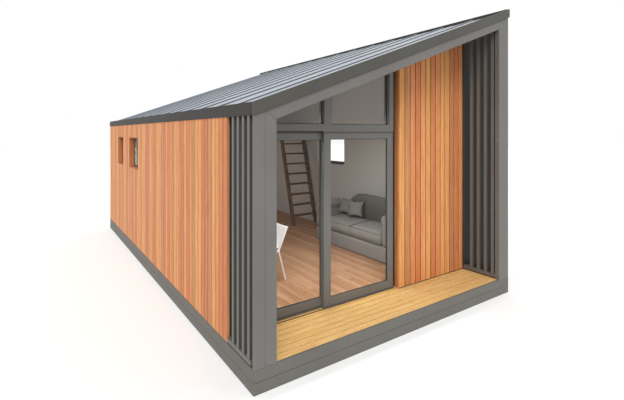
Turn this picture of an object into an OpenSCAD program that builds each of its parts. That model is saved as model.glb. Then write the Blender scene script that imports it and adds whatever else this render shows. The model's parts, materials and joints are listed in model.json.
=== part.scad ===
// Small timber cabin with one roof slope, a porch between louvre screens and a glazed front.
// The porch faces -Y, the low eave is at -X, the floor of the world is z = 0.

/* [Body] */
// Width over the side cladding
body_w = 4200; // [4000:10:4600]
// Length over the porch frame and the back cladding
body_l = 7920; // [7600:20:9000]
// Thickness of the walls, cladding included
wall_t = 240; // [200:5:280]
// Thickness of cladding, rim boards and flat frame boards
board_t = 26; // [18:1:40]
// Gap between pieces that only rest on each other
seat_gap = 0.3; // [0.2:0.1:0.5]

/* [Base] */
// Height of the beams that lie on the ground
plinth_h = 115; // [80:5:200]
// Width of the beams that lie on the ground
plinth_t = 60; // [40:5:120]
// Height of the rim boards over those beams
rim_h = 114; // [80:2:200]
// Width of the cross bearers under the floor
bearer_w = 100; // [60:5:160]
// Number of cross bearers, an odd number
bearer_count = 5; // [3:2:9]
// Thickness of the floor boards in the room
floor_t = 15; // [10:1:30]
// Thickness of the deck boards on the porch
deck_t = 28; // [20:1:40]
// Gap under the cladding, where rain drips off
drip_gap = 6; // [2:1:15]

/* [Roof] */
// Height of the fascia's lower edge at the low eave
eave_z = 2531; // [2480:1:2700]
// Pitch of the roof in degrees
roof_pitch = 20.3; // [15:0.1:22]
// Overhang of the fascias in front and behind
end_overhang = 20; // [5:1:60]
// Overhang of the fascias at the sides
side_overhang = 8; // [4:1:60]
// Upright thickness of the insulated roof panel
panel_h = 78; // [60:1:160]
// Upright thickness of the metal sheet
sheet_h = 8; // [4:1:12]
// Width of one pan of the metal sheet
pan_w = 566; // [400:2:700]
// Height of the standing seams
seam_h = 18; // [8:1:30]
// Thickness of the standing seams
seam_t = 14; // [8:1:24]
// Thickness of the fascia boards
fascia_t = 30; // [20:1:40]
// Rise of the fascias over the sheet
upstand = 36; // [20:1:80]
// Thickness of the ceiling boards in the room
ceiling_t = 18; // [10:1:30]

/* [Porch frame] */
// Depth of the porch screens behind the front face
screen_l = 596; // [480:2:800]
// Width of the outer posts
post_w = 120; // [80:2:130]
// Depth of the inner jambs and of the sloping beam
jamb_d = 70; // [40:1:80]
// Upright height of the sloping beam
beam_h = 122; // [90:1:180]
// Thickness of a louvre fin
fin_t = 45; // [25:1:55]
// Distance from fin to fin
fin_pitch = 116; // [100:1:140]
// Centre of the first fin behind the front face
fin_first = 112; // [105:1:130]
// Number of fins in a screen
fin_count = 4; // [3:1:4]
// Height of the rail under the fins
rail_h = 60; // [40:1:120]
// Height of the shadow gap under that rail
rail_gap = 15; // [5:1:25]
// Depth of that shadow gap
rail_inset = 30; // [10:1:60]
// Thickness of the trim on the ends of the side walls
trim_t = 20; // [10:1:30]

/* [Front wall] */
// Setback of the timber face behind the front face
panel_setback = 610; // [600:2:800]
// Width of the timber part of the front wall
panel_w = 1430; // [1000:5:1460]
// Thickness of the front wall
panel_t = 200; // [180:5:240]

/* [Glazed screen] */
// Setback of the glazing frame behind the timber face
frame_setback = 60; // [30:1:60]
// Depth of the glazing frame
frame_d = 115; // [108:1:120]
// Width of the left jamb of the glazing frame
frame_left_w = 40; // [30:1:80]
// Width of the right jamb of the glazing frame
frame_right_w = 50; // [40:1:80]
// Setback of that jamb's face, which leaves a shadow gap beside the timber
shadow_gap_d = 50; // [30:1:60]
// Height of the transom's lower edge over the deck
transom_z = 2162; // [2050:1:2180]
// Height of the transom
transom_h = 87; // [60:1:100]
// Height of the lip under the transom, behind the sliding leaf
head_lip_h = 16; // [12:1:24]
// Thickness of that lip
head_lip_t = 5; // [3:1:6]
// Height of the floor track, ribs included
track_h = 16; // [12:1:24]
// Height of the ribs on the track
track_rib_h = 4; // [2:1:6]
// Width of the ribs on the track
track_rib_w = 10; // [6:1:14]
// Setback of the outer leaf behind the frame's face
leaf_setback = 10; // [5:1:12]
// Thickness of a door leaf
leaf_t = 45; // [40:1:46]
// Clear space around the sliding leaf
leaf_gap = 6; // [5:0.5:7]
// Width of the leaves' upright members
stile_w = 105; // [80:1:130]
// Height of the leaves' cross members
leaf_rail_h = 96; // [70:1:120]
// Width of the fixed leaf
fixed_w = 1191; // [1100:1:1210]
// Thickness of the glass units
glass_t = 24; // [16:1:32]
// Width of the upper mullion
mullion_w = 115; // [80:1:140]
// Width of the upper side bars
side_bar_w = 80; // [40:1:100]
// Upright height of the bar under the roof
head_bar_h = 70; // [40:1:90]
// Radius of the rollers under the sliding leaf
roller_r = 16; // [12:0.5:20]
// Width of those rollers
roller_w = 12; // [8:1:16]
// Running gap of the rollers
roller_gap = 0.3; // [0.2:0.1:0.5]
// Length of the pull bar
pull_l = 320; // [200:10:500]
// Radius of the pull bar
pull_r = 10; // [8:0.5:14]
// Distance of the pull bar from the leaf
pull_off = 34; // [26:1:45]

/* [Windows] */
// Height of the clear window opening's lower edge
window_sill_z = 1690; // [1500:5:1700]
// Height of the clear window opening
window_h = 580; // [400:5:580]
// Distance of the low wall's rear window from the back face, to its centre
rear_window_y = 1420; // [1200:5:1500]
// Width of that window
rear_window_w = 600; // [400:5:800]
// Distance from there to the centre of the low wall's other window
window_step = 1345; // [1000:5:1500]
// Width of that other window
mid_window_w = 790; // [500:5:850]
// Centre of the window in the high wall, from the front face
high_window = 4050; // [3800:5:4200]
// Width of that window
high_window_w = 960; // [600:5:1000]
// Depth of the timber reveals
reveal_d = 90; // [60:1:110]
// Thickness of the timber reveals
reveal_t = 18; // [10:1:25]
// Width of the window frames
casement_w = 32; // [25:1:60]
// Depth of the window frames
casement_d = 60; // [40:1:70]

/* [Loft and ladder] */
// Front edge of the loft behind the front face
loft_front = 5215; // [5000:5:5400]
// Height of the loft's underside over the deck
loft_z = 2075; // [2075:1:2150]
// Thickness of the loft floor
loft_t = 60; // [40:1:90]
// Height of the beam at the loft's edge, floor thickness included
loft_beam_h = 120; // [100:1:150]
// Thickness of that beam
loft_beam_t = 60; // [40:1:90]
// Width of the ladder
ladder_w = 660; // [500:5:700]
// Distance of the ladder from the high wall
ladder_side = 20; // [20:5:200]
// Lean of the ladder from upright, in degrees
ladder_lean = 15.5; // [10:0.5:20]
// Thickness of the ladder's sides
stringer_t = 45; // [25:1:50]
// Depth of the ladder's sides
stringer_d = 105; // [70:1:120]
// Distance from tread to tread
tread_rise = 235; // [220:1:260]
// Thickness of the treads
tread_t = 34; // [20:1:40]

/* [Sofa] */
// Length of the sofa
sofa_l = 2040; // [1800:10:2300]
// Depth of the sofa
sofa_d = 770; // [700:10:850]
// Gap between the sofa and the high wall
sofa_gap = 140; // [20:5:200]
// Near end of the sofa behind the front face
sofa_y = 1300; // [1200:5:1400]
// Height of the sofa's base
sofa_base_h = 270; // [240:5:340]
// Thickness of the seat cushions
sofa_seat_t = 240; // [160:5:260]
// Width of the arms
sofa_arm_w = 210; // [150:5:230]
// Height of the arms over the base
sofa_arm_h = 530; // [420:5:560]
// Thickness of the back
sofa_back_t = 220; // [180:5:260]
// Height of the back over the base at its ends
sofa_back_h = 495; // [420:5:540]
// Rise of the hump in the middle of the back
sofa_hump_h = 215; // [80:5:260]
// Width of that hump
sofa_hump_w = 1500; // [1200:10:1700]
// Fullness of that hump, where 1 is a plain wave
hump_power = 2.2; // [1:0.1:2.5]
// Side of a pillow
pillow_w = 340; // [300:5:360]
// Thickness of a pillow
pillow_t = 120; // [90:5:150]
// Lean of the pillows from upright, in degrees
pillow_lean = 20; // [12:1:24]
// Distance of the near pillow's middle from the far arm
near_pillow_y = 600; // [580:5:700]
// Turn of the near pillow towards the door, in degrees
near_pillow_angle = 26; // [22:1:45]
// Distance of the far pillow's middle from the far arm
far_pillow_y = 240; // [190:5:250]
// Turn of the far pillow towards the door, in degrees
far_pillow_angle = 8; // [0:1:10]

/* [Chair] */
// Distance of the chair's middle from the low side's outer face
chair_x = 1150; // [1100:10:1250]
// Near side of the chair behind the front face
chair_y = 1755; // [1700:5:1900]
// Width of the chair
chair_w = 540; // [480:5:620]
// Side of the chair's bars
chair_bar = 18; // [16:1:30]
// Diameter of the discs at the chair's corners
chair_disc = 26; // [24:1:40]
// Diameter of the chair's cross rods
chair_rod = 14; // [10:1:16]
// Height of the chair's seat
chair_seat_h = 470; // [420:5:500]
// Height of the chair's back
chair_back_h = 755; // [700:5:850]
// Thickness of the sling
sling_t = 10; // [6:1:16]
// Front edge of the chair's seat before its middle
chair_front_x = 230; // [200:5:260]
// Hip of the chair's sides behind its middle
chair_hip_x = 130; // [100:5:180]
// Drop of the hip under the seat's front edge
chair_hip_drop = 40; // [20:5:60]
// Top of the chair's back behind its middle
chair_crown_x = 270; // [240:5:330]
// Front feet of the chair before its middle
front_foot_x = 270; // [230:5:290]
// Rear feet of the chair behind its middle
rear_foot_x = 245; // [200:5:290]

/* [Hidden] */
$fn = 48;
// Spare length of a cutting tool past the face that it cuts
cut = 10;

// Plan lines
hx = body_w / 2;
hy = body_l / 2;
core_x = hx - board_t;
inner_x = hx - wall_t;
front = -hy;
back = hy;
core_back = back - board_t;
inner_back = back - wall_t;
screen_back = front + screen_l;
wall_front = screen_back + trim_t;
panel_face = front + panel_setback;
panel_back = panel_face + panel_t;
panel_x = inner_x - panel_w;
frame_face = panel_face + frame_setback;
frame_back = frame_face + frame_d;

// Levels
deck_z = plinth_h + rim_h;
room_z = deck_z + floor_t;
track_z = deck_z + track_h;
door_top = deck_z + transom_z;
light_z = door_top + transom_h;

// Roof lines: the panel's underside climbs from the low eave, all else is an upright offset from it
roof_hx = hx + side_overhang;
roof_hy = hy + end_overhang;
rise = tan(roof_pitch);
sheet_top = panel_h + sheet_h;
fascia_h = sheet_top + upstand;
function under(x) = eave_z + (x + roof_hx) * rise;

// Door leaves
leaf_right = panel_x - frame_right_w;
leaf_left = frame_left_w - inner_x;
fixed_left = leaf_right - fixed_w;
outer_y = frame_face + leaf_setback;
inner_y = outer_y + leaf_t + leaf_gap;
lane_y = inner_y - leaf_gap;
slider_left = leaf_left + leaf_gap;
slider_right = fixed_left + stile_w;

// Windows as [side, centre, width], side -1 low and 1 high
WINDOWS = [[-1, back - rear_window_y - window_step, mid_window_w],
           [-1, back - rear_window_y, rear_window_w],
           [1, front + high_window, high_window_w]];

// Loft and ladder
loft_y = front + loft_front;
loft_under = deck_z + loft_z;
loft_top = loft_under + loft_beam_h;
ladder_x = inner_x - ladder_side - ladder_w / 2;
ladder_band = stringer_d / cos(ladder_lean);
ladder_foot = loft_y - seat_gap - ladder_band - (loft_top - room_z) * tan(ladder_lean);
tread_count = floor((loft_top - room_z) / tread_rise);

// Sofa
sofa_back_x = inner_x - sofa_gap;
sofa_front_x = sofa_back_x - sofa_d;
sofa_rest_x = sofa_back_x - sofa_back_t;
sofa_near = front + sofa_y;
sofa_far = sofa_near + sofa_l;
sofa_mid = (sofa_near + sofa_far) / 2;
sofa_top = room_z + sofa_base_h;
sofa_seat_top = sofa_top + sofa_seat_t;

// Pillows: two domes cut to a square, and the half thickness that is left at the middle of an edge
pillow_dome = pillow_t * 0.35;
pillow_half = pillow_w * 0.72;
pillow_r = (pow(pillow_half, 2) + pow(pillow_dome, 2)) / (2 * pillow_dome);
pillow_edge = pillow_t / 2 - pillow_r + sqrt(pow(pillow_r, 2) - pow(pillow_w / 2, 2));

// Colours as the finished cabin shows them
GREY = [0.49, 0.48, 0.46];
DARK = [0.34, 0.33, 0.32];
TIMBER = [0.84, 0.59, 0.38];
DECK = [0.85, 0.69, 0.45];
PALE = [0.86, 0.85, 0.83];
OAK = [0.78, 0.62, 0.47];
SHEET = [0.68, 0.71, 0.75];
GLASS = [0.70, 0.76, 0.78, 0.35];
BROWN = [0.36, 0.29, 0.22];
FELT = [0.58, 0.57, 0.55];
WHITE = [0.93, 0.92, 0.90];

// A box between two corners
module block(x, y, z) {
    translate([x[0], y[0], z[0]]) cube([x[1] - x[0], y[1] - y[0], z[1] - z[0]]);
}

// An upright outline in x and z, drawn out from y[0] to y[1]
module upright(y, points) {
    translate([0, y[1], 0]) rotate([90, 0, 0]) linear_extrude(y[1] - y[0]) polygon(points);
}

// A prism that stands on z0 and ends in the roof's slope, drop below the panel
module roofed(x, y, z0, drop = seat_gap) {
    upright(y, [[x[0], z0], [x[1], z0], [x[1], under(x[1]) - drop], [x[0], under(x[0]) - drop]]);
}

// A band that follows the slope between two upright offsets from the panel's underside
module sloped(x, y, low, high) {
    upright(y, [[x[0], under(x[0]) + low], [x[1], under(x[1]) + low],
                [x[1], under(x[1]) + high], [x[0], under(x[0]) + high]]);
}

// Its children once on the left and once mirrored to the right
module both_sides() {
    children();
    mirror([1, 0, 0]) children();
}

// Its children at each window of the given sides, with the origin on the wall's outer face
module at_windows(sides) {
    for (w = WINDOWS) if (len(search(w[0], sides)) > 0)
        mirror([w[0] > 0 ? 1 : 0, 0, 0]) translate([-hx, w[1], window_sill_z])
            let ($window_w = w[2]) children();
}

// A rectangular ring around a clear opening, depth d along x from x0
module window_ring(x0, d, clear_w, clear_h, width) {
    translate([x0, 0, 0]) difference() {
        translate([0, -clear_w / 2 - width, -width]) cube([d, clear_w + 2 * width, clear_h + 2 * width]);
        translate([-cut, -clear_w / 2, 0]) cube([d + 2 * cut, clear_w, clear_h]);
    }
}

// The hole in wall and cladding that takes a window and its reveal
module window_hole() {
    hole_w = $window_w + 2 * reveal_t;
    translate([-cut, -hole_w / 2, -reveal_t]) cube([wall_t + 2 * cut, hole_w, window_h + 2 * reveal_t]);
}

// Base

module plinth_side_beams() {
    color(GREY) both_sides() block([-hx, plinth_t - hx], [front + plinth_t, back - plinth_t], [0, plinth_h]);
}

module plinth_end_beams() {
    color(GREY) for (y = [front, back - plinth_t]) block([-hx, hx], [y, y + plinth_t], [0, plinth_h]);
}

module rim_side_boards() {
    color(GREY) both_sides() block([-hx, -core_x], [front + board_t, core_back], [plinth_h, deck_z]);
}

module rim_end_boards() {
    color(GREY) for (y = [front, core_back]) block([-hx, hx], [y, y + board_t], [plinth_h, deck_z]);
}

module floor_bearers() {
    run = body_l - 2 * plinth_t - bearer_w;
    color(BROWN) for (i = [1 : bearer_count]) {
        y = run * (i / (bearer_count + 1) - 0.5);
        block([plinth_t - hx, hx - plinth_t], [y - bearer_w / 2, y + bearer_w / 2], [0, plinth_h]);
    }
}

// The floor slab steps down under the porch, where the deck boards lie on it
module cabin_floor() {
    color(BROWN) difference() {
        block([-core_x, core_x], [front + board_t, core_back], [plinth_h, deck_z]);
        block([-inner_x, inner_x], [front, lane_y], [deck_z - deck_t, deck_z + cut]);
    }
}

module floor_boards() {
    color(OAK) block([-inner_x, inner_x], [panel_back, inner_back], [deck_z, room_z]);
}

module porch_deck() {
    color(DECK) block([-inner_x, inner_x], [front + board_t, lane_y], [deck_z - deck_t, deck_z]);
}

// Walls

module side_wall(sides) {
    difference() {
        children();
        at_windows(sides) window_hole();
    }
}

module left_wall() {
    color(PALE) side_wall([-1]) roofed([-core_x, -inner_x], [wall_front, core_back], deck_z);
}

module right_wall() {
    color(PALE) side_wall([1]) roofed([inner_x, core_x], [wall_front, core_back], deck_z);
}

module back_wall() {
    color(PALE) roofed([-inner_x, inner_x], [inner_back, core_back], deck_z);
}

module front_wall() {
    color(PALE) roofed([panel_x + board_t, inner_x], [panel_face + board_t, panel_back], deck_z);
}

module left_cladding() {
    color(TIMBER) side_wall([-1])
        roofed([-hx, -core_x], [screen_back, back], deck_z + drip_gap);
}

module right_cladding() {
    color(TIMBER) side_wall([1])
        roofed([core_x, hx], [screen_back, back], deck_z + drip_gap);
}

module back_cladding() {
    color(TIMBER) roofed([-core_x, core_x], [core_back, back], deck_z + drip_gap);
}

// The timber face turns the corner into the glazed opening
module front_cladding() {
    color(TIMBER) difference() {
        roofed([panel_x, inner_x], [panel_face, panel_back], deck_z);
        roofed([panel_x + board_t, inner_x + cut], [panel_face + board_t, panel_back + cut],
               deck_z - cut, -cut);
    }
}

module wall_end_trims() {
    color(DARK) {
        roofed([-core_x, -inner_x], [screen_back, wall_front], deck_z);
        roofed([inner_x, core_x], [screen_back, wall_front], deck_z);
    }
}

// Windows

module window_reveals() {
    color(TIMBER) at_windows([-1, 1]) window_ring(0, reveal_d, $window_w, window_h, reveal_t);
}

module window_frames() {
    frame_w = casement_w + reveal_t;
    color(DARK) at_windows([-1, 1])
        translate([0, 0, casement_w])
            window_ring(reveal_d, casement_d, $window_w - 2 * casement_w, window_h - 2 * casement_w, frame_w);
}

module window_glass() {
    pane_h = window_h - 2 * casement_w;
    color(GLASS) at_windows([-1, 1])
        translate([reveal_d + (casement_d - glass_t) / 2, casement_w - $window_w / 2, casement_w])
            cube([glass_t, $window_w - 2 * casement_w, pane_h]);
}

// Porch frame

module front_posts() {
    color(GREY) {
        roofed([-hx, post_w - hx], [front, front + board_t], deck_z);
        roofed([hx - post_w, hx], [front, front + board_t], deck_z);
    }
}

// The left jamb is mitred into the sloping beam, the right one runs up past its end
module front_jambs() {
    color(GREY) {
        upright([front, front + jamb_d],
                [[post_w - hx, deck_z], [-inner_x, deck_z],
                 [-inner_x, under(-inner_x) - beam_h], [post_w - hx, under(post_w - hx) - seat_gap]]);
        roofed([inner_x, hx - post_w], [front, front + jamb_d], deck_z);
    }
}

module rake_beam() {
    color(GREY) upright([front, front + jamb_d],
                        [[post_w - hx, under(post_w - hx) - seat_gap], [-inner_x, under(-inner_x) - beam_h],
                         [inner_x, under(inner_x) - beam_h], [inner_x, under(inner_x) - seat_gap]]);
}

module screen_fins(x) {
    for (i = [0 : fin_count - 1]) {
        y = front + fin_first + i * fin_pitch;
        roofed(x, [y - fin_t / 2, y + fin_t / 2], deck_z + rail_h);
    }
}

module left_fins() {
    color(GREY) screen_fins([-hx, -inner_x]);
}

module right_fins() {
    color(GREY) screen_fins([inner_x, hx]);
}

// A rail on a narrower foot, so that a shadow gap runs along both its sides
module screen_rails() {
    run = [front + jamb_d, screen_back];
    color(GREY) both_sides() {
        block([-hx, -inner_x], run, [deck_z + rail_gap, deck_z + rail_h]);
        block([rail_inset - hx, -inner_x - rail_inset], run, [deck_z, deck_z + rail_gap]);
    }
}

// Roof

module roof_panel() {
    x = roof_hx - fascia_t;
    y = roof_hy - fascia_t;
    color(DARK) sloped([-x, x], [-y, y], 0, panel_h);
}

// Outline of the sheet across its pans: a flat strip with a standing seam at each joint
function seam_outline(run, t) =
    let (half = floor((run - seam_t) / 2 / pan_w))
    concat([[-run / 2, 0], [-run / 2, t]],
           [for (i = [-half : half], p = [[-1, 0], [-1, 1], [1, 1], [1, 0]])
               [i * pan_w + p[0] * seam_t / 2, t + p[1] * seam_h]],
           [[run / 2, t], [run / 2, 0]]);

module roof_sheet() {
    sheet_t = sheet_h * cos(roof_pitch);
    run = 2 * (roof_hy - fascia_t - seat_gap);
    width = 2 * (roof_hx - fascia_t) / cos(roof_pitch) - 2 * (seam_h + sheet_t) * rise;
    color(SHEET) translate([0, 0, under(0) + panel_h + seat_gap]) rotate([0, -roof_pitch, 0])
        translate([-width / 2, 0, 0]) rotate([90, 0, 90]) linear_extrude(width)
            polygon(seam_outline(run, sheet_t));
}

// The front fascia stands up over the sheet, the back one ends level with it
module rake_fascias() {
    color(DARK) {
        sloped([-roof_hx, roof_hx], [-roof_hy, fascia_t - roof_hy], 0, fascia_h);
        sloped([-roof_hx, roof_hx], [roof_hy - fascia_t, roof_hy], 0, sheet_top);
    }
}

// The eave fascias are cut to the slope below and level on top
module eave_fascias() {
    run = [fascia_t - roof_hy, roof_hy - fascia_t];
    color(DARK) for (x = [[-roof_hx, fascia_t - roof_hx], [roof_hx - fascia_t, roof_hx]]) {
        top = fascia_h + under(x[0] < 0 ? x[0] : x[1]);
        upright(run, [[x[0], under(x[0])], [x[1], under(x[1])], [x[1], top], [x[0], top]]);
    }
}

module ceiling() {
    color(PALE) sloped([-inner_x, inner_x], [panel_back, inner_back], -ceiling_t, -seat_gap);
}

// Glazed screen

module glazing_jambs() {
    color(GREY) {
        roofed([-inner_x, leaf_left], [frame_face, frame_back], deck_z);
        roofed([leaf_right, panel_x], [frame_face + shadow_gap_d, frame_back], deck_z);
    }
}

// Front and back of a lane's rib
function track_rib(y) = [y + (leaf_t - track_rib_w) / 2, y + (leaf_t + track_rib_w) / 2];

// The sliding leaf's lane runs the whole way, the fixed leaf's lane is only as long as that leaf
module door_track() {
    rib_top = [track_z - track_rib_h - cut, track_z];
    color(DARK) {
        block([leaf_left, leaf_right], [lane_y, frame_back], [deck_z, track_z - track_rib_h]);
        block([fixed_left, leaf_right], [frame_face, lane_y + cut], [deck_z, track_z - track_rib_h]);
        block([leaf_left, leaf_right], track_rib(inner_y), rib_top);
        block([fixed_left, leaf_right], track_rib(outer_y), rib_top);
    }
}

module transom() {
    color(GREY) {
        block([leaf_left, leaf_right], [frame_face, frame_back], [door_top, light_z]);
        block([leaf_left, leaf_right], [frame_back - head_lip_t, frame_back],
              [door_top - head_lip_h, door_top + cut]);
    }
}

module upper_bars() {
    bars = [[leaf_left, leaf_left + side_bar_w], [fixed_left, fixed_left + mullion_w],
            [leaf_right - side_bar_w, leaf_right]];
    color(GREY) for (x = bars) roofed(x, [frame_face, frame_back], light_z, head_bar_h + seat_gap);
}

module upper_head() {
    color(GREY) sloped([leaf_left, leaf_right], [frame_face, frame_back], -head_bar_h, -seat_gap);
}

module upper_glass() {
    y = (frame_face + frame_back - glass_t) / 2;
    lights = [[leaf_left + side_bar_w, fixed_left], [fixed_left + mullion_w, leaf_right - side_bar_w]];
    color(GLASS) for (x = lights) roofed(x, [y, y + glass_t], light_z, head_bar_h + seat_gap);
}

// A leaf of two stiles and two rails around an open light
module leaf(x, y, z) {
    difference() {
        block(x, [y, y + leaf_t], z);
        block([x[0] + stile_w, x[1] - stile_w], [y - cut, y + leaf_t + cut],
              [z[0] + leaf_rail_h, z[1] - leaf_rail_h]);
    }
}

module leaf_pane(x, y, z) {
    mid = y + leaf_t / 2;
    block([x[0] + stile_w, x[1] - stile_w], [mid - glass_t / 2, mid + glass_t / 2],
          [z[0] + leaf_rail_h, z[1] - leaf_rail_h]);
}

module fixed_leaf() {
    color(GREY) leaf([fixed_left, leaf_right], outer_y, [track_z, door_top]);
}

module fixed_glass() {
    color(GLASS) leaf_pane([fixed_left, leaf_right], outer_y, [track_z, door_top]);
}

// Its children at the two rollers, with the origin at a roller's centre
module at_rollers() {
    for (x = [slider_left + stile_w, slider_right - stile_w])
        translate([x, inner_y + leaf_t / 2, track_z + roller_gap + roller_r]) children();
}

module sliding_leaf() {
    pocket_r = roller_r + roller_gap;
    pocket_w = roller_w + 2 * roller_gap;
    color(GREY) difference() {
        leaf([slider_left, slider_right], inner_y, [track_z + leaf_gap, door_top - leaf_gap]);
        at_rollers() translate([-pocket_r, -pocket_w / 2, -pocket_r - cut])
            cube([2 * pocket_r, pocket_w, 2 * pocket_r + cut]);
    }
}

module sliding_glass() {
    color(GLASS) leaf_pane([slider_left, slider_right], inner_y, [track_z + leaf_gap, door_top - leaf_gap]);
}

module door_rollers() {
    color(DARK) at_rollers() rotate([90, 0, 0]) cylinder(r = roller_r, h = roller_w, center = true);
}

// A round bar on two round feet, on the room side of the sliding leaf
module door_pull() {
    foot_x = slider_left + stile_w / 2;
    face = inner_y + leaf_t;
    middle = (track_z + door_top) / 2;
    color(DARK) {
        translate([foot_x, face + pull_off, middle - pull_l / 2]) cylinder(r = pull_r, h = pull_l);
        for (z = [-1, 1]) translate([foot_x, face, middle + z * pull_l / 3])
            rotate([-90, 0, 0]) cylinder(r = pull_r * 0.8, h = pull_off);
    }
}

// Loft and ladder

module loft_floor() {
    color(OAK) block([-inner_x, inner_x], [loft_y + loft_beam_t, inner_back], [loft_top - loft_t, loft_top]);
}

module loft_beam() {
    color(OAK) block([-inner_x, inner_x], [loft_y, loft_y + loft_beam_t], [loft_under, loft_top]);
}

// Front line of the ladder at a height
function ladder_y(z) = ladder_foot + (z - room_z) * tan(ladder_lean);

module ladder_sides() {
    color(BROWN) for (s = [-1, 1])
        translate([ladder_x + s * (ladder_w - stringer_t) / 2 - stringer_t / 2, 0, 0])
            rotate([90, 0, 90]) linear_extrude(stringer_t)
                polygon([[ladder_y(room_z), room_z], [ladder_y(room_z) + ladder_band, room_z],
                         [ladder_y(loft_top) + ladder_band, loft_top], [ladder_y(loft_top), loft_top]]);
}

module ladder_treads() {
    half = ladder_w / 2 - stringer_t;
    color(BROWN) for (i = [1 : tread_count]) {
        z = room_z + i * tread_rise;
        block([ladder_x - half, ladder_x + half], [ladder_y(z), ladder_y(z) + ladder_band], [z - tread_t, z]);
    }
}

// Sofa

module sofa_base() {
    color(FELT) block([sofa_front_x, sofa_back_x], [sofa_near, sofa_far], [room_z, sofa_top]);
}

// The back's upper edge is level at both ends and rises in one hump, y from the sofa's middle
function sofa_hump(y) = sofa_hump_h * (1 + cos(180 * pow(min(1, abs(y) * 2 / sofa_hump_w), hump_power))) / 2;

module sofa_back() {
    steps = 24;
    top = sofa_top + sofa_back_h;
    wave = [[sofa_far, top],
            for (i = [0 : steps]) let (y = (0.5 - i / steps) * sofa_hump_w)
                [sofa_mid + y, top + sofa_hump(y)],
            [sofa_near, top]];
    color(FELT) translate([sofa_rest_x, 0, 0]) rotate([90, 0, 90]) linear_extrude(sofa_back_t)
        polygon(concat([[sofa_near, sofa_top], [sofa_far, sofa_top]], wave));
}

// Each arm is a slab with a roll along its top
module sofa_arms() {
    roll_r = sofa_arm_w / 2;
    color(FELT) for (y = [sofa_near + roll_r, sofa_far - roll_r])
        translate([sofa_front_x, y, sofa_top]) rotate([90, 0, 90]) linear_extrude(sofa_d - sofa_back_t)
            union() {
                translate([-roll_r * 0.8, 0]) square([roll_r * 1.6, sofa_arm_h - roll_r]);
                translate([0, sofa_arm_h - roll_r]) circle(r = roll_r);
            }
}

module sofa_cushions() {
    low = sofa_near + sofa_arm_w + seat_gap;
    high = sofa_far - sofa_arm_w - seat_gap;
    color(FELT) {
        block([sofa_front_x, sofa_rest_x], [low, sofa_mid - seat_gap], [sofa_top, sofa_seat_top]);
        block([sofa_front_x, sofa_rest_x], [sofa_mid + seat_gap, high], [sofa_top, sofa_seat_top]);
    }
}

// A square pillow with two domed faces, standing on its lower edge
module pillow() {
    centre = pillow_r - pillow_t / 2;
    intersection() {
        translate([-pillow_t / 2, -pillow_w / 2, 0]) cube([pillow_t, pillow_w, pillow_w]);
        translate([centre, 0, pillow_w / 2]) sphere(r = pillow_r, $fn = 240);
        translate([-centre, 0, pillow_w / 2]) sphere(r = pillow_r, $fn = 240);
    }
}

// Two pillows stand on the seat and lean on the back, the near one turned further
module sofa_pillows() {
    reach = pillow_edge * cos(pillow_lean) + pillow_w * sin(pillow_lean);
    lift = pillow_edge * sin(pillow_lean) + seat_gap;
    color(FELT) for (p = [[near_pillow_y, near_pillow_angle], [far_pillow_y, far_pillow_angle]]) {
        depth = reach * cos(p[1]) + pillow_w / 2 * sin(p[1]) + seat_gap;
        translate([sofa_rest_x - depth, sofa_far - sofa_arm_w - p[0], sofa_seat_top + lift])
            rotate([0, 0, p[1]]) rotate([0, pillow_lean, 0]) pillow();
    }
}

// Chair

// A flat bar between two points of an upright outline
module bar(a, b) {
    dx = b[0] - a[0];
    dz = b[1] - a[1];
    translate(a) rotate(atan2(dz, dx)) translate([0, -chair_bar / 2]) square([norm([dx, dz]), chair_bar]);
}

// Points of the chair's side, x from the chair's middle and z from the room's floor
chair_front = [-chair_front_x, chair_seat_h];
chair_hip = [chair_hip_x, chair_seat_h - chair_hip_drop];
chair_crown = [chair_crown_x, chair_back_h];
chair_front_foot = [-front_foot_x, 0];
chair_rear_foot = [rear_foot_x, 0];

module chair_side() {
    difference() {
        union() {
            bar(chair_front_foot, chair_front);
            bar(chair_rear_foot, chair_hip);
            bar(chair_front, chair_hip);
            bar(chair_hip, chair_crown);
            for (p = [chair_front, chair_hip, chair_crown]) translate(p) circle(d = chair_disc);
        }
        translate([-chair_back_h, -chair_back_h]) square([2 * chair_back_h, chair_back_h]);
    }
}

module at_chair() {
    translate([chair_x - hx, front + chair_y, room_z]) children();
}

module chair_frame() {
    color(WHITE) at_chair() {
        for (y = [chair_bar, chair_w])
            translate([0, y, 0]) rotate([90, 0, 0]) linear_extrude(chair_bar) chair_side();
        for (p = [chair_front, chair_crown])
            translate([p[0], chair_bar, p[1]]) rotate([-90, 0, 0])
                cylinder(d = chair_rod, h = chair_w - 2 * chair_bar);
    }
}

// The sling runs from the front bar down to the hip and up to the crown, between the side frames
module chair_sling() {
    low = [0, -sling_t];
    color(WHITE) at_chair() translate([0, chair_w - chair_bar - seat_gap, 0]) rotate([90, 0, 0])
        linear_extrude(chair_w - 2 * chair_bar - 2 * seat_gap) difference() {
            polygon([chair_front, chair_hip, chair_crown, chair_crown + [sling_t, -sling_t],
                     chair_hip + [sling_t, -sling_t], chair_front + low]);
            for (p = [chair_front, chair_crown]) translate(p) circle(d = chair_rod + 2 * seat_gap);
        }
}

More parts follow.
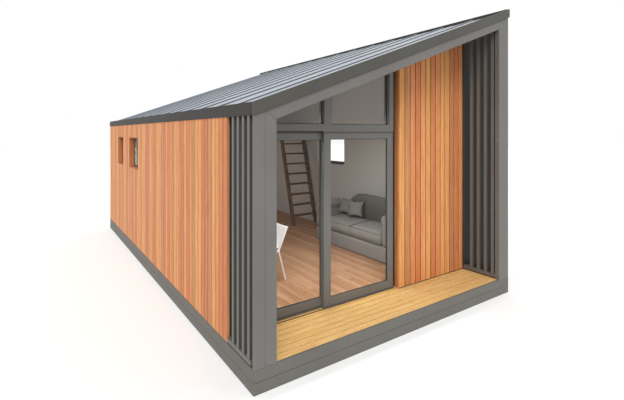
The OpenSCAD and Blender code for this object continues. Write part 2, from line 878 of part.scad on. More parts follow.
plinth_side_beams();
plinth_end_beams();
rim_side_boards();
rim_end_boards();
floor_bearers();
cabin_floor();
floor_boards();
porch_deck();
left_wall();
right_wall();
back_wall();
front_wall();
left_cladding();
right_cladding();
back_cladding();
front_cladding();
wall_end_trims();
window_reveals();
window_frames();
window_glass();
front_posts();
front_jambs();
rake_beam();
left_fins();
right_fins();
screen_rails();
roof_panel();
roof_sheet();
rake_fascias();
eave_fascias();
ceiling();
glazing_jambs();
door_track();
transom();
upper_bars();
upper_head();
upper_glass();
fixed_leaf();
fixed_glass();
sliding_leaf();
sliding_glass();
door_rollers();
door_pull();
loft_floor();
loft_beam();
ladder_sides();
ladder_treads();
sofa_base();
sofa_back();
sofa_arms();
sofa_cushions();
sofa_pillows();
chair_frame();
chair_sling();
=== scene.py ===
# %% [markdown]
# A small timber cabin with one roof slope, a porch between louvre screens and a glazed front.
# The CAD solids are the frame of this lesson: posts, beams, leaves and fascias already have their
# shape and only need finishes. What a joiner, roofer or upholsterer would add, such as single boards,
# folded seams, gaskets and stuffed cushions, is worked out here with numpy and set on that frame.

# %% Frame
import json
import math

import bmesh
import bpy
import numpy as np
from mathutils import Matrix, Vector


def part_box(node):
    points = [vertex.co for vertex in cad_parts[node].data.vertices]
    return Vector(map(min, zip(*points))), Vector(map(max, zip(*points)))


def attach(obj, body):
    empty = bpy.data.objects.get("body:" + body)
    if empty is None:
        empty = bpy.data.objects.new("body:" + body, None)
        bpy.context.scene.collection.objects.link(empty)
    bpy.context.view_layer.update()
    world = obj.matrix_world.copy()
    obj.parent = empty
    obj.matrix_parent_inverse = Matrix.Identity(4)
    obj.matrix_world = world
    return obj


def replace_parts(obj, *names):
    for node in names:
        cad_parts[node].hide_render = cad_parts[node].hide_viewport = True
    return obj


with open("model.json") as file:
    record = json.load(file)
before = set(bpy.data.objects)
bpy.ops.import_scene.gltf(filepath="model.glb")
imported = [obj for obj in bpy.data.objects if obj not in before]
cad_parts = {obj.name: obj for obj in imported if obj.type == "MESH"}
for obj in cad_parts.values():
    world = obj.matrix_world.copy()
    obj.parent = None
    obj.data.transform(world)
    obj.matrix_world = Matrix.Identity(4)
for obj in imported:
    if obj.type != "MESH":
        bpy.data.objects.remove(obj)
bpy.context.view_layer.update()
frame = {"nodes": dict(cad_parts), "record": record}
RECORD = frame["record"]
SLOT_OF = {part["node"]: part["material_slot"] for part in RECORD["subparts"]}
BODY_OF = {n: body for body, nodes in RECORD["behaviour"]["bodies"].items() for n in nodes}

# %% [markdown]
# The camera comes first, so that every later step can be looked at. Upright lines of the photograph
# are parallel, which is what a level camera gives; the horizon is then lowered out of the middle with
# the lens shift, as on a view camera, and not by tilting.

# %% Camera
CAMERA_PLACE = (-3.747, -7.245, 2.372)
CAMERA_TURN = math.radians(-34.83)
LENS, SENSOR = 23.38, 36
HORIZON_SHIFT = -0.1077
camera_data = bpy.data.cameras.new("view")
camera_data.lens, camera_data.sensor_width = LENS, SENSOR
camera_data.shift_y = HORIZON_SHIFT
camera = bpy.data.objects.new("view", camera_data)
camera.location = CAMERA_PLACE
camera.rotation_euler = (math.pi / 2, 0, CAMERA_TURN)
bpy.context.scene.collection.objects.link(camera)
bpy.context.scene.camera = camera
bpy.context.scene.view_settings.view_transform = "Standard"
print("camera at", CAMERA_PLACE)

# %% [markdown]
# Helpers for shader nodes. Nodes can be set up one line at a time, but a material reads better when a
# node is one call: what it is, what it is set to, and what feeds it.


# %% Node helpers
def add(tree, kind, feeds=(), **settings):
    """One shader node. feeds maps a socket's name or number to a value or to the socket that feeds it."""
    made = tree.nodes.new("ShaderNode" + kind)
    for key, value in settings.items():
        setattr(made, key, value)
    for key, value in dict(feeds).items():
        if isinstance(value, bpy.types.NodeSocket):
            tree.links.new(value, made.inputs[key])
        else:
            made.inputs[key].default_value = value
    return made


def mix(tree, share, a, b, how="MIX"):
    """The colour a turned into b by share, with one of Blender's ways of mixing."""
    return add(tree, "Mix", {0: share, 6: a, 7: b}, data_type="RGBA", blend_type=how).outputs[2]


def calc(tree, what, a, b=0.0):
    """One sum on two values."""
    return add(tree, "Math", {0: a, 1: b}, operation=what).outputs[0]


def spread(tree, value, low, high, to_low=0.0, to_high=1.0):
    """value moved from the range low..high to the range to_low..to_high, and kept inside it."""
    return add(tree, "MapRange", {0: value, 1: low, 2: high, 3: to_low, 4: to_high}).outputs[0]


def new_group(name, inputs, outputs):
    """An empty node group with named sockets, and its input and output nodes."""
    group = bpy.data.node_groups.new(name, "ShaderNodeTree")
    for title, kind, value in inputs:
        socket = group.interface.new_socket(title, in_out="INPUT", socket_type="NodeSocket" + kind)
        if value is not None:
            socket.default_value = value
    for title, kind in outputs:
        group.interface.new_socket(title, in_out="OUTPUT", socket_type="NodeSocket" + kind)
    return group, group.nodes.new("NodeGroupInput").outputs, group.nodes.new("NodeGroupOutput").inputs


def place_group(tree, group, feeds):
    """The group as a node of a material."""
    return add(tree, "Group", feeds, node_tree=group).outputs


def material(name):
    """A new material with its Principled BSDF: the tree, the shader and the object's own coordinates."""
    made = bpy.data.materials.new(name)
    made.use_nodes = True
    tree = made.node_tree
    shader = tree.nodes["Principled BSDF"]
    return made, tree, shader, add(tree, "TexCoord").outputs["Object"]


def bump(tree, shader, height, distance):
    """A fine relief on the shader's normal, distance in metres."""
    relief = add(tree, "Bump", {"Height": height, "Distance": distance, "Strength": 1.0})
    tree.links.new(relief.outputs[0], shader.inputs["Normal"])


def rgb(*values):
    """A colour as a picture editor writes it, 0 to 255, as the linear values that a shader takes."""
    v = np.array(values) / 255
    return (*np.where(v <= 0.04045, v / 12.92, ((v + 0.055) / 1.055) ** 2.4), 1.0)


def dull_and_bright(colour, depth):
    """The colour made darker and lighter by the share depth."""
    even = np.array(rgb(*colour)[:3])
    return [(*np.minimum(1.0, even * (1 + way * depth)), 1.0) for way in (-1, 1)]


def within(tree, value, low, high):
    """Mask of where value lies between low and high."""
    middle, half = (low + high) / 2, (high - low) / 2
    return add(tree, "Math", {0: value, 1: middle, 2: half}, operation="COMPARE").outputs[0]


print("camera and node helpers are ready")

# %% [markdown]
# A studio with a pale floor and soft light from everywhere, a little stronger from the front left and
# above. The world could be a sky picture, but a plain white one keeps the colours as they are written.
# Where the camera, a mirror or a pane looks at it, it is pure white. The room behind the glass has its own
# soft box under the ceiling and a lantern at the back, as a photographer would hang them to show the inside.


# %% Studio
WORLD_LEVEL = 0.74
SUN_LEVEL = 1.65
SUN_SPREAD = math.radians(35)
SUN_TURN = (math.radians(50), 0, math.radians(-35))
ROOM_LEVEL = 60.0
SOFTBOX_PLACE, SOFTBOX_W, SOFTBOX_L = (-0.7, -2.4, 2.65), 1.6, 1.2
LANTERN_LEVEL = 26.0
LANTERN_PLACE, LANTERN_R = (-0.7, 2.0, 1.9), 0.3


def looked_at(tree):
    """1 where the camera, a mirror or a pane looks, 0 for light on its way to a surface."""
    rays = add(tree, "LightPath").outputs
    through = calc(tree, "MAXIMUM", rays["Is Glossy Ray"], rays["Is Transmission Ray"])
    return calc(tree, "MAXIMUM", rays["Is Camera Ray"], through)


def lamp(name, kind, level, place=(0, 0, 0), turn=(0, 0, 0), seen=True, **settings):
    """A lamp of one of Blender's kinds. One that isn't seen only sheds light."""
    data = bpy.data.lights.new(name, kind)
    data.energy = level
    for key, value in settings.items():
        setattr(data, key, value)
    made = bpy.data.objects.new(name, data)
    made.location, made.rotation_euler = place, turn
    made.visible_camera = made.visible_transmission = made.visible_glossy = seen
    bpy.context.scene.collection.objects.link(made)


world = bpy.data.worlds.new("studio")
bpy.context.scene.world = world
world.use_nodes = True
tree = world.node_tree
tree.nodes.clear()
level = calc(tree, "MAXIMUM", looked_at(tree), WORLD_LEVEL)
sky = add(tree, "Background", {"Color": (1, 1, 1, 1), "Strength": level})
add(tree, "OutputWorld", {"Surface": sky.outputs[0]})
lamp("soft_sun", "SUN", SUN_LEVEL, turn=SUN_TURN, angle=SUN_SPREAD)
lamp("room_softbox", "AREA", ROOM_LEVEL, SOFTBOX_PLACE, seen=False, shape="RECTANGLE", size=SOFTBOX_W,
     size_y=SOFTBOX_L)
lamp("room_lantern", "POINT", LANTERN_LEVEL, LANTERN_PLACE, seen=False, shadow_soft_size=LANTERN_R)
print("world", WORLD_LEVEL, "sun", SUN_LEVEL, "room", ROOM_LEVEL, LANTERN_LEVEL)

# %% [markdown]
# Wood is the finish that most of the cabin shows. Its grain is long streaks along the board, finer
# fibres in them, and a few darker year lines. A photograph of a board would repeat on every board; a
# noise that is stretched along the grain and shifted for each board never does. Cladding, deck, floor
# and ladder share it, so it is a node group.


# %% Group: timber grain
BOARD_SHIFT = 57.0
YEAR_LINES, LINE_DEPTH = 40.0, 0.22
STREAK_SHARE = 0.65
grain, here, out = new_group("timber_grain", [("Vector", "Vector", None), ("Board", "Float", 0.0)],
                             [("Shade", "Float"), ("Fibre", "Float")])
turn = calc(grain, "MULTIPLY", here["Board"], BOARD_SHIFT)
streaks = add(grain, "TexNoise", {"Vector": here["Vector"], "W": turn, "Scale": 1.0, "Detail": 3.0},
              noise_dimensions="4D").outputs[0]
fibres = add(grain, "TexNoise", {"Vector": here["Vector"], "W": turn, "Scale": 6.0, "Detail": 2.0},
             noise_dimensions="4D").outputs[0]
years = calc(grain, "SINE", calc(grain, "MULTIPLY", streaks, YEAR_LINES))
lines = spread(grain, years, 0.5, 1.0, 0.0, LINE_DEPTH)
shade = calc(grain, "ADD", calc(grain, "MULTIPLY", streaks, STREAK_SHARE),
             calc(grain, "MULTIPLY", fibres, 1 - STREAK_SHARE))
grain.links.new(calc(grain, "SUBTRACT", shade, lines), out["Shade"])
grain.links.new(fibres, out["Fibre"])
print("group", grain.name)

# %% [markdown]
# Paint and powder coat are nearly even, but never quite: a cloudy drift in tone and gloss, and a fine
# skin like orange peel. Frame, fascias, leaves, roof sheet, walls and chair share this film.

# %% Group: paint film
PEEL_SCALE = 260.0
film, here, out = new_group("paint_film", [("Vector", "Vector", None), ("Drift", "Float", 1.0)],
                            [("Cloud", "Float"), ("Skin", "Float")])
clouds = add(film, "TexNoise", {"Vector": here["Vector"], "Scale": here["Drift"], "Detail": 4.0}).outputs[0]
peel = add(film, "TexNoise", {"Vector": here["Vector"], "Scale": PEEL_SCALE, "Detail": 1.0}).outputs[0]
film.links.new(spread(film, clouds, 0.25, 0.75), out["Cloud"])
film.links.new(peel, out["Skin"])
print("group", film.name)

# %% [markdown]
# Sofa cloth and chair canvas are woven. A weave that follows the surface needs a flat layout of each
# piece; on boxy upholstery three waves along the object's axes give the same small crossing threads on
# every side without one. A slow noise makes the yarn uneven.

# %% Group: weave
YARN_SCALE = 38.0
weave, here, out = new_group("weave", [("Vector", "Vector", None), ("Threads", "Float", 250.0)],
                             [("Yarn", "Float"), ("Relief", "Float")])
axes = add(weave, "SeparateXYZ", {0: here["Vector"]}).outputs
around = calc(weave, "MULTIPLY", here["Threads"], 2 * math.pi)
waves = [calc(weave, "SINE", calc(weave, "MULTIPLY", axes[i], around)) for i in range(3)]
crossing = calc(weave, "ADD", calc(weave, "ADD", waves[0], waves[1]), waves[2])
uneven = add(weave, "TexNoise", {"Vector": here["Vector"], "Scale": YARN_SCALE, "Detail": 3.0}).outputs[0]
weave.links.new(uneven, out["Yarn"])
weave.links.new(spread(weave, crossing, -2.0, 2.0), out["Relief"])
print("group", weave.name)

# %% [markdown]
# One function makes every timber finish. A board's own number, kept on its points as the attribute
# "board", picks its tone out of a short ramp, as boards from one stack differ; the grain then darkens
# it along its length. A second number, "joint", says how deep in a groove a point lies, and there the
# wood is darker: painted shade. Solids from CAD have no such numbers and take the ramp's first tone.


# %% Timber finishes
FIBRE_RELIEF = 0.0006
GROOVE_SHADE_TINT = rgb(96, 74, 62)
GRAIN_TINT = rgb(200, 150, 120)


def timber(name, tones, along, across=26.0, length=1.1, contrast=0.5, rough=0.55, gloss=0.25):
    """Wood whose grain runs along the given axis: tones are the boards' colours, contrast the grain's depth
    and gloss the specular level."""
    made, tree, shader, place = material(name)
    scale = [across] * 3
    scale["XYZ".index(along)] = length
    stretched = add(tree, "Mapping", {"Vector": place, "Scale": scale}).outputs[0]
    board = add(tree, "Attribute", attribute_name="board").outputs["Fac"]
    ramp = add(tree, "ValToRGB", {0: board})
    ramp.color_ramp.interpolation = "CONSTANT"
    stops = ramp.color_ramp.elements
    while len(stops) < len(tones):
        stops.new(1.0)
    for i, tone in enumerate(tones):
        stops[i].position = i / len(tones)
        stops[i].color = rgb(*tone)
    wood = place_group(tree, grain, {"Vector": stretched, "Board": board})
    dark = spread(tree, wood["Shade"], 0.28, 0.62, 1.0 - contrast, 1.0)
    deep = mix(tree, 1.0, ramp.outputs["Color"], GRAIN_TINT, "MULTIPLY")
    grained = mix(tree, dark, deep, ramp.outputs["Color"])
    # The joint number darkens the wood in the grooves: painted shade.
    groove = add(tree, "Attribute", attribute_name="joint").outputs["Fac"]
    groove_shaded = mix(tree, 1.0, grained, GROOVE_SHADE_TINT, "MULTIPLY")
    tree.links.new(mix(tree, groove, grained, groove_shaded), shader.inputs["Base Color"])
    worn = spread(tree, wood["Fibre"], 0.3, 0.7, rough + 0.1, rough - 0.1)
    tree.links.new(worn, shader.inputs["Roughness"])
    shader.inputs["Specular IOR Level"].default_value = gloss
    bump(tree, shader, wood["Fibre"], FIBRE_RELIEF)
    return made


LARCH = [(232, 164, 106), (206, 146, 98), (214, 138, 88), (230, 168, 102), (204, 138, 90), (226, 154, 98)]
DECK = [(241, 202, 131), (234, 194, 121), (244, 206, 138)]
OAK = [(178, 142, 110), (166, 130, 99), (186, 151, 119), (172, 136, 105)]
FINISH = {
    "cladding_wood": timber("larch_boards", LARCH, "Z"),
    # The window reveals take one darker tone of larch: painted shade in the openings.
    "reveal_wood": timber("shaded_larch_reveals", [(190, 126, 78)], "Z"),
    "deck_wood": timber("deck_boards", DECK, "X", across=90.0, length=4.0, contrast=0.6),
    "floor_wood": timber("oak_planks", OAK, "Y", across=40.0, contrast=0.6, rough=0.5, gloss=0.2),
    "ladder_wood": timber("stained_ladder", [(106, 88, 70)], "Z", contrast=0.35, gloss=0.1),
    "structure_timber": timber("sawn_joists", [(150, 120, 92)], "Y", rough=0.8),
}
print("timber finishes:", sorted(FINISH))

# %% [markdown]
# Painted and coated finishes also come from one function. The cloud moves the colour a little to both
# sides and the gloss with it; the skin is the relief. Some coats have a second colour, with a mask for it:
# in the folds of the roof sheet, where it is painted shade, on the inner side of the low wall's window
# frames, which are taken to be white indoors, and on the flanks of the louvre fins. The gaps between the fins
# are darker than soft light alone makes them, so there the second colour is painted shade as well.


# %% Painted finishes
GLASS_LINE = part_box("window_glass")[1].x
FIN_INNER, FIN_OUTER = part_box("right_fins")[0].x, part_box("right_fins")[1].x
FIN_EDGE = 0.004


def in_fold_shade(tree, place):
    """Mask of the painted shade in the roof's folds, which the points carry as an attribute."""
    return add(tree, "Attribute", attribute_name="fold_shade").outputs["Fac"]


def indoors(tree, place):
    """Mask of what lies, along X, between the outer face of the low wall's glass and the cabin's middle."""
    return within(tree, add(tree, "SeparateXYZ", {0: place}).outputs[0], -GLASS_LINE, 0)


def fin_flank_shade(tree, place):
    """Mask of the painted shade on the fins' flanks: what lies between their outer and inner faces, whose
    edges stay light.
    """
    out = calc(tree, "ABSOLUTE", add(tree, "SeparateXYZ", {0: place}).outputs[0])
    return within(tree, out, FIN_INNER + FIN_EDGE, FIN_OUTER - FIN_EDGE)


def painted(name, colour, rough, metal=0.0, gloss=0.5, drift=1.3, depth=0.10, relief=0.00008,
            second=None):
    """Paint or powder coat: gloss is its specular level, depth how far the cloud moves the colour, second
    a second colour and the function that makes the mask of where it lies."""
    made, tree, shader, place = material(name)
    coat = place_group(tree, film, {"Vector": place, "Drift": drift})
    tone = mix(tree, coat["Cloud"], *dull_and_bright(colour, depth))
    if second:
        tone = mix(tree, second[1](tree, place), tone, rgb(*second[0]))
    tree.links.new(tone, shader.inputs["Base Color"])
    patchy = spread(tree, coat["Cloud"], 0.0, 1.0, rough - 0.06, rough + 0.06)
    tree.links.new(patchy, shader.inputs["Roughness"])
    shader.inputs["Metallic"].default_value = metal
    shader.inputs["Specular IOR Level"].default_value = gloss
    bump(tree, shader, coat["Skin"], relief)
    return made


FINISH |= {
    "grey_frame": painted("grey_paint", (108, 106, 102), 0.55, gloss=0.4),
    "base_paint": painted("base_paint", (105, 103, 98), 0.6, gloss=0.3),
    "dark_trim": painted("fascia_coat", (77, 76, 71), 0.5, gloss=0.3),
    # The soffit, the low eave's fascias and the wall end trims take darker copies of the fascia coat: painted
    # shade.
    "soffit": painted("soffit_shade_coat", (44, 43, 41), 0.6, gloss=0.3),
    "end_trim": painted("end_trim_shade_coat", (56, 55, 53), 0.6, gloss=0.3),
    "eave_trim": painted("eave_shade_coat", (62, 61, 58), 0.6, gloss=0.15),
    # The fins' second colour is painted shade on their flanks.
    "fin_paint": painted("fin_paint", (108, 106, 102), 0.55, gloss=0.4, second=((82, 80, 76), fin_flank_shade)),
    "window_metal": painted("window_coat", (84, 83, 82), 0.42, second=((236, 234, 230), indoors)),
    "door_metal": painted("leaf_coat", (106, 105, 101), 0.42),
    "wall_paint": painted("wall_paint", (193, 191, 187), 0.9, gloss=0.2, depth=0.03, relief=0.00002),
    # The roof coat's second colour is painted shade in the folds.
    "roof_metal": painted("roof_coat", (197, 204, 214), 0.38, metal=0.25, drift=2.0, depth=0.06,
                          second=((50, 52, 55), in_fold_shade)),
    "chair_paint": painted("white_paint", (238, 236, 232), 0.4, depth=0.03),
}
OWN_FINISH = {node: finish for finish, nodes in {
    "soffit": ["roof_panel"], "eave_trim": ["eave_fascias"], "end_trim": ["wall_end_trims"],
    "fin_paint": ["left_fins", "right_fins"], "reveal_wood": ["window_reveals"],
    "base_paint": ["plinth_side_beams", "plinth_end_beams", "rim_side_boards", "rim_end_boards"],
    "coated_glass": ["window_glass"], "upper_glass": ["upper_glass"],
}.items() for node in nodes}
print("painted finishes:", len(FINISH))

# %% [markdown]
# Glass lets light into the room. A glass shader alone leaves the room dark, because lamps don't shine
# through it in a renderer; so for rays that look for a lamp the pane is simply clear. Real glass has an
# index of about 1.5 and mirrors a white studio strongly. The photograph shows the room clearly through the
# leaves, so a low index stands in there, and one a little higher in the small windows. The lights above the
# leaves do mirror the sky, and their index is nearly the real one.


# %% Glass
PANE_TINT = (0.985, 0.99, 0.99, 1.0)
LAMP_TINT = (0.92, 0.94, 0.94, 1.0)
GLASS_INDEX = {"clear_glass": 1.14, "upper_glass": 1.46, "coated_glass": 1.2}


def glass(name, ior):
    """Clear glass: the index ior sets how much it mirrors."""
    made, tree, shader, _ = material(name)
    shader.inputs["Base Color"].default_value = PANE_TINT
    shader.inputs["Roughness"].default_value = 0.0
    shader.inputs["IOR"].default_value = ior
    shader.inputs["Transmission Weight"].default_value = 1.0
    lamp_way = add(tree, "BsdfTransparent", {"Color": LAMP_TINT})
    rays = add(tree, "LightPath").outputs["Is Shadow Ray"]
    pane = add(tree, "MixShader", {0: rays, 1: shader.outputs[0], 2: lamp_way.outputs[0]})
    tree.links.new(pane.outputs[0], tree.nodes["Material Output"].inputs["Surface"])
    return made


FINISH |= {name: glass(name, index) for name, index in GLASS_INDEX.items()}
print("glass for the leaves, the lights above them and the windows")

# %% [markdown]
# Upholstery cloth and canvas: the weave gives relief and a slight melange, and a little sheen the soft
# edge that cloth has against the light. Where a piece carries the number "crease", as in the corner between
# seat and back, the cloth is darker: it stands for shade that soft light alone doesn't give.


# %% Cloth finishes
WEAVE_RELIEF = 0.0006
CREASE_SHADE_TINT = rgb(140, 137, 132)


def cloth(name, colour, threads, depth=0.12, sheen=0.25):
    """Woven cloth of one colour."""
    made, tree, shader, place = material(name)
    yarn = place_group(tree, weave, {"Vector": place, "Threads": threads})
    melange = mix(tree, spread(tree, yarn["Yarn"], 0.3, 0.7), *dull_and_bright(colour, depth))
    # The crease number darkens the cloth: painted shade.
    crease = add(tree, "Attribute", attribute_name="crease").outputs["Fac"]
    deep = mix(tree, 1.0, melange, CREASE_SHADE_TINT, "MULTIPLY")
    tree.links.new(mix(tree, crease, melange, deep), shader.inputs["Base Color"])
    tree.links.new(spread(tree, yarn["Relief"], 0.0, 1.0, 0.95, 0.8), shader.inputs["Roughness"])
    shader.inputs["Specular IOR Level"].default_value = 0.1
    shader.inputs["Sheen Weight"].default_value = sheen
    bump(tree, shader, yarn["Relief"], WEAVE_RELIEF)
    return made


FINISH["sofa_fabric"] = cloth("sofa_cloth", (134, 131, 126), 240.0, sheen=0.05)
FINISH["chair_fabric"] = cloth("chair_canvas", (206, 205, 202), 420.0, depth=0.05)
missing = {part["material_slot"] for part in RECORD["subparts"]} - set(FINISH)
print("cloth finishes, slots without one:", sorted(missing))

# %% [markdown]
# Every CAD node takes the finish of its slot, or a finish of its own. Razor edges betray a computer model, so
# the rigid timber and metal nodes also get their arrises eased by modifiers: the loose triangles are welded,
# flat faces joined, each edge rounded, and the normals weighted by face so that flats stay flat.

# %% Finishes and eased arrises on the CAD nodes
EASED_MM = {
    4.5: ["front_posts", "front_jambs", "rake_beam"],
    4: ["plinth_side_beams", "plinth_end_beams", "ladder_sides", "ladder_treads", "loft_beam"],
    3: ["rim_side_boards", "rim_end_boards", "left_fins", "right_fins", "screen_rails"],
    2.5: ["fixed_leaf", "sliding_leaf", "window_frames"],
    2: ["wall_end_trims", "rake_fascias", "eave_fascias", "glazing_jambs", "transom", "upper_bars",
        "upper_head"],
    1.5: ["window_reveals"],
    1: ["door_track"],
}


def ease(piece, width):
    """Weld, join flats, round the edges by width in metres and weight the normals."""
    piece.modifiers.new("weld", "WELD").merge_threshold = 1e-5
    joined = piece.modifiers.new("flats", "DECIMATE")
    joined.decimate_type = "DISSOLVE"
    joined.angle_limit = math.radians(1)
    arris = piece.modifiers.new("arris", "BEVEL")
    arris.width = width
    arris.segments = 2
    arris.limit_method = "ANGLE"
    arris.angle_limit = math.radians(30)
    piece.modifiers.new("flat_shading", "WEIGHTED_NORMAL")


for name, node in frame["nodes"].items():
    node.data.materials.clear()
    node.data.materials.append(FINISH[OWN_FINISH.get(name, SLOT_OF[name])])
for width, names in EASED_MM.items():
    for name in names:
        ease(frame["nodes"][name], width / 1000)
print("eased", sum(map(len, EASED_MM.values())), "nodes")

# %% [markdown]
# Helpers for new pieces. A piece is an array of points and arrays of faces; they go into the mesh in
# one stroke, with any values that belong to points, such as a board's number. Boards and panes end in the
# roof's slope, so the height of its underside is worked out here as well.


# %% Mesh helpers
def piece_from(name, points, faces, slot, body="cabin", smooth=False, values=None, finish=None):
    """An object at the origin from points (n, 3) and a list of face arrays, each (m, corners). It takes the
    slot's own finish unless another is named."""
    mesh = bpy.data.meshes.new(name)
    corners = np.concatenate([f.ravel() for f in faces]).astype(np.int32)
    counts = np.concatenate([np.full(len(f), f.shape[1]) for f in faces])
    mesh.vertices.add(len(points))
    mesh.vertices.foreach_set("co", np.ascontiguousarray(points, np.float32).ravel())
    mesh.loops.add(len(corners))
    mesh.loops.foreach_set("vertex_index", corners)
    mesh.polygons.add(len(counts))
    mesh.polygons.foreach_set("loop_start", (np.cumsum(counts) - counts).astype(np.int32))
    mesh.update(calc_edges=True)
    for title, numbers in (values or {}).items():
        layer = mesh.attributes.new(title, "FLOAT", "POINT")
        layer.data.foreach_set("value", np.asarray(numbers, np.float32))
    outward = bmesh.new()
    outward.from_mesh(mesh)
    bmesh.ops.recalc_face_normals(outward, faces=outward.faces)
    outward.to_mesh(mesh)
    outward.free()
    mesh.polygons.foreach_set("use_smooth", np.full(len(mesh.polygons), smooth))
    mesh.materials.append(FINISH[finish or slot])
    made = bpy.data.objects.new(name, mesh)
    bpy.context.scene.collection.objects.link(made)
    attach(made, body)
    return made


def prisms(points):
    """Faces of closed prisms whose points are (prisms, 2 ends, corners, 3): side quads and two caps each."""
    n, _, k, _ = points.shape
    index = np.arange(n * 2 * k).reshape(n, 2, k)
    nxt = np.roll(index, -1, axis=2)
    sides = np.stack([index[:, 0], nxt[:, 0], nxt[:, 1], index[:, 1]], axis=-1).reshape(-1, 4)
    return points.reshape(-1, 3), [sides, index[:, 0, ::-1], index[:, 1]]


def carried(sections):
    """One prism from the section (corners, 3) at its two ends."""
    return prisms(np.stack(sections)[None])


def grid_quads(index):
    """Quads between the neighbours of a grid of point numbers."""
    return np.stack([index[:-1, :-1], index[1:, :-1], index[1:, 1:], index[:-1, 1:]], axis=-1).reshape(-1, 4)


SEED = 7
PITCH = math.radians(20.3)
RISE = math.tan(PITCH)
panel_low, panel_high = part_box("roof_panel")


def under(x):
    """Height of the roof panel's underside: a straight climb from the low eave."""
    return panel_low.z + (x - panel_low.x) * RISE


random = np.random.default_rng(SEED)
print("eave underside at", round(under(panel_low.x), 3), "and", round(under(panel_high.x), 3))

# %% [markdown]
# The cladding is upright larch boards, a little over 100 mm wide, with a shadow groove between them. A bump
# in the material would draw the grooves, but real boards cast their own shadow, differ in tone and show at
# corners and window heads. A carpenter sets them out from the openings, so each stretch between two
# openings is shared out into whole boards. One board is a profile of ten corners, carried from its foot to
# its head: a tongue of the full width behind, and a narrower face with two eased corners before it.

# %% Boards
BOARD_W = 0.108
JOINT = 0.009
BOARD_EASE = 0.003
TONGUE = 0.4
GROOVE_SHADE_DEPTH = np.array([1, 1, 1, 1, 0.6, 0, 0, 0.6, 1, 1])
GOLDEN = 0.618
TONE_DRIFT = 0.12


def set_out(stops, width):
    """Left and right edges of boards that share out each stretch between stops evenly."""
    stretches = zip(stops[:-1], stops[1:])
    edges = [np.linspace(a, b, max(1, round((b - a) / width)) + 1) for a, b in stretches]
    return np.concatenate([np.stack([e[:-1], e[1:]], axis=1) for e in edges])


def boards(name, edges, low, high, thick, place, slot, joint=JOINT, ease_by=BOARD_EASE):
    """Boards side by side. The profile goes round the tongue's back and side, in by half the joint, and round
    the face with its eased corners; low and high are the heights at the left and right edge; place turns
    (across, out, up) into x, y, z. Steps of the golden section keep a board's tone off its neighbours'. The
    grooves carry painted shade, and the outer sides of the last boards stay light."""
    side = np.array([0, 1, 1, 1, 1, 1, 0, 0, 0, 0])
    neck, face_edge = joint / 2, joint / 2 + ease_by
    inset = np.array([0, 0, 0, neck, neck, face_edge, face_edge, neck, neck, 0])
    step, face = thick * TONGUE, thick - ease_by
    out = np.array([0, 0, step, step, face, thick, thick, face, step, step])
    u = edges[:, side] + inset * (1 - 2 * side)
    up = np.stack([low[:, side], high[:, side]], axis=1)
    spots = np.stack(place(np.stack([u, u], 1), np.broadcast_to(out, up.shape), up), axis=-1)
    steps = random.random() + GOLDEN * np.arange(len(edges))
    tones = (steps + TONE_DRIFT * random.random(len(edges))) % 1
    points, faces = prisms(spots)
    last = np.where(side == 0, edges[:, :1] == edges.min(), edges[:, 1:] == edges.max())
    # Painted shade in the grooves, none on the outer sides of the last boards.
    dark = np.repeat(np.where(last, 0, GROOVE_SHADE_DEPTH)[:, None], 2, axis=1)
    numbers = {"board": np.repeat(tones, 2 * len(side)), "joint": dark.ravel()}
    return piece_from(name, points, faces, slot, values=numbers)


def flat(edges, value):
    """The same height at both edges of every board."""
    return np.full(edges.shape, float(value))


print("boards about", BOARD_W, "m wide, joint", JOINT)

# %% [markdown]
# On a side wall the boards run from the base to the roof, level at the head. Those over a window are cut in
# two, one piece below the timber reveal and one above it.

# %% Boards of the side walls
WINDOW_Z = (1.690, 2.270)
REVEAL = 0.018
LOW_WINDOWS = ((1.195, 0.790), (2.540, 0.600))
HIGH_WINDOWS = ((0.090, 0.960),)
ROOF_GAP = 0.002


def side_boards(name, node, windows, outer_x, inner_x):
    """A side wall's boards, split below and above its windows, heads just under the roof's underside."""
    lo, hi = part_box(node)
    stops = [lo.y, hi.y]
    for centre, width in windows:
        stops += [centre - width / 2 - REVEAL, centre + width / 2 + REVEAL]
    edges = set_out(sorted(stops), BOARD_W)
    middle = edges.mean(axis=1)
    cut = np.zeros(len(edges), bool)
    for centre, width in windows:
        cut |= abs(middle - centre) < width / 2
    head = min(under(outer_x), under(inner_x)) - ROOF_GAP
    every = np.concatenate([edges, edges[cut]])
    low = np.concatenate([flat(edges, lo.z), flat(edges[cut], WINDOW_Z[1] + REVEAL)])
    high = flat(edges, head)
    high[cut] = WINDOW_Z[0] - REVEAL
    high = np.concatenate([high, flat(edges[cut], head)])
    outward = np.sign(outer_x)
    made = boards(name, every, low, high, abs(outer_x - inner_x),
                  lambda u, w, t: (inner_x + outward * w, u, t), "cladding_wood")
    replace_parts(made, node)
    print(name, len(every), "boards")


lo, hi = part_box("left_cladding")
side_boards("left_boards", "left_cladding", LOW_WINDOWS, lo.x, hi.x)
lo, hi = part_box("right_cladding")
side_boards("right_boards", "right_cladding", HIGH_WINDOWS, hi.x, lo.x)

# %% [markdown]
# The boards of an end wall are cut to the roof's slope, each with its own two heights. The timber part of the
# front also turns the corner beside the glazing, so a short row of boards stands across it.


# %% Boards of the end walls
CLAD = 0.026


def end_boards(name, stops, y_inner, y_outer, foot):
    """Boards of an end wall, their heads cut to the roof's slope."""
    edges = set_out(stops, BOARD_W)
    outward = np.sign(y_outer - y_inner)
    return boards(name, edges, flat(edges, foot), under(edges) - ROOF_GAP, abs(y_outer - y_inner),
                  lambda u, w, t: (u, y_inner + outward * w, t), "cladding_wood")


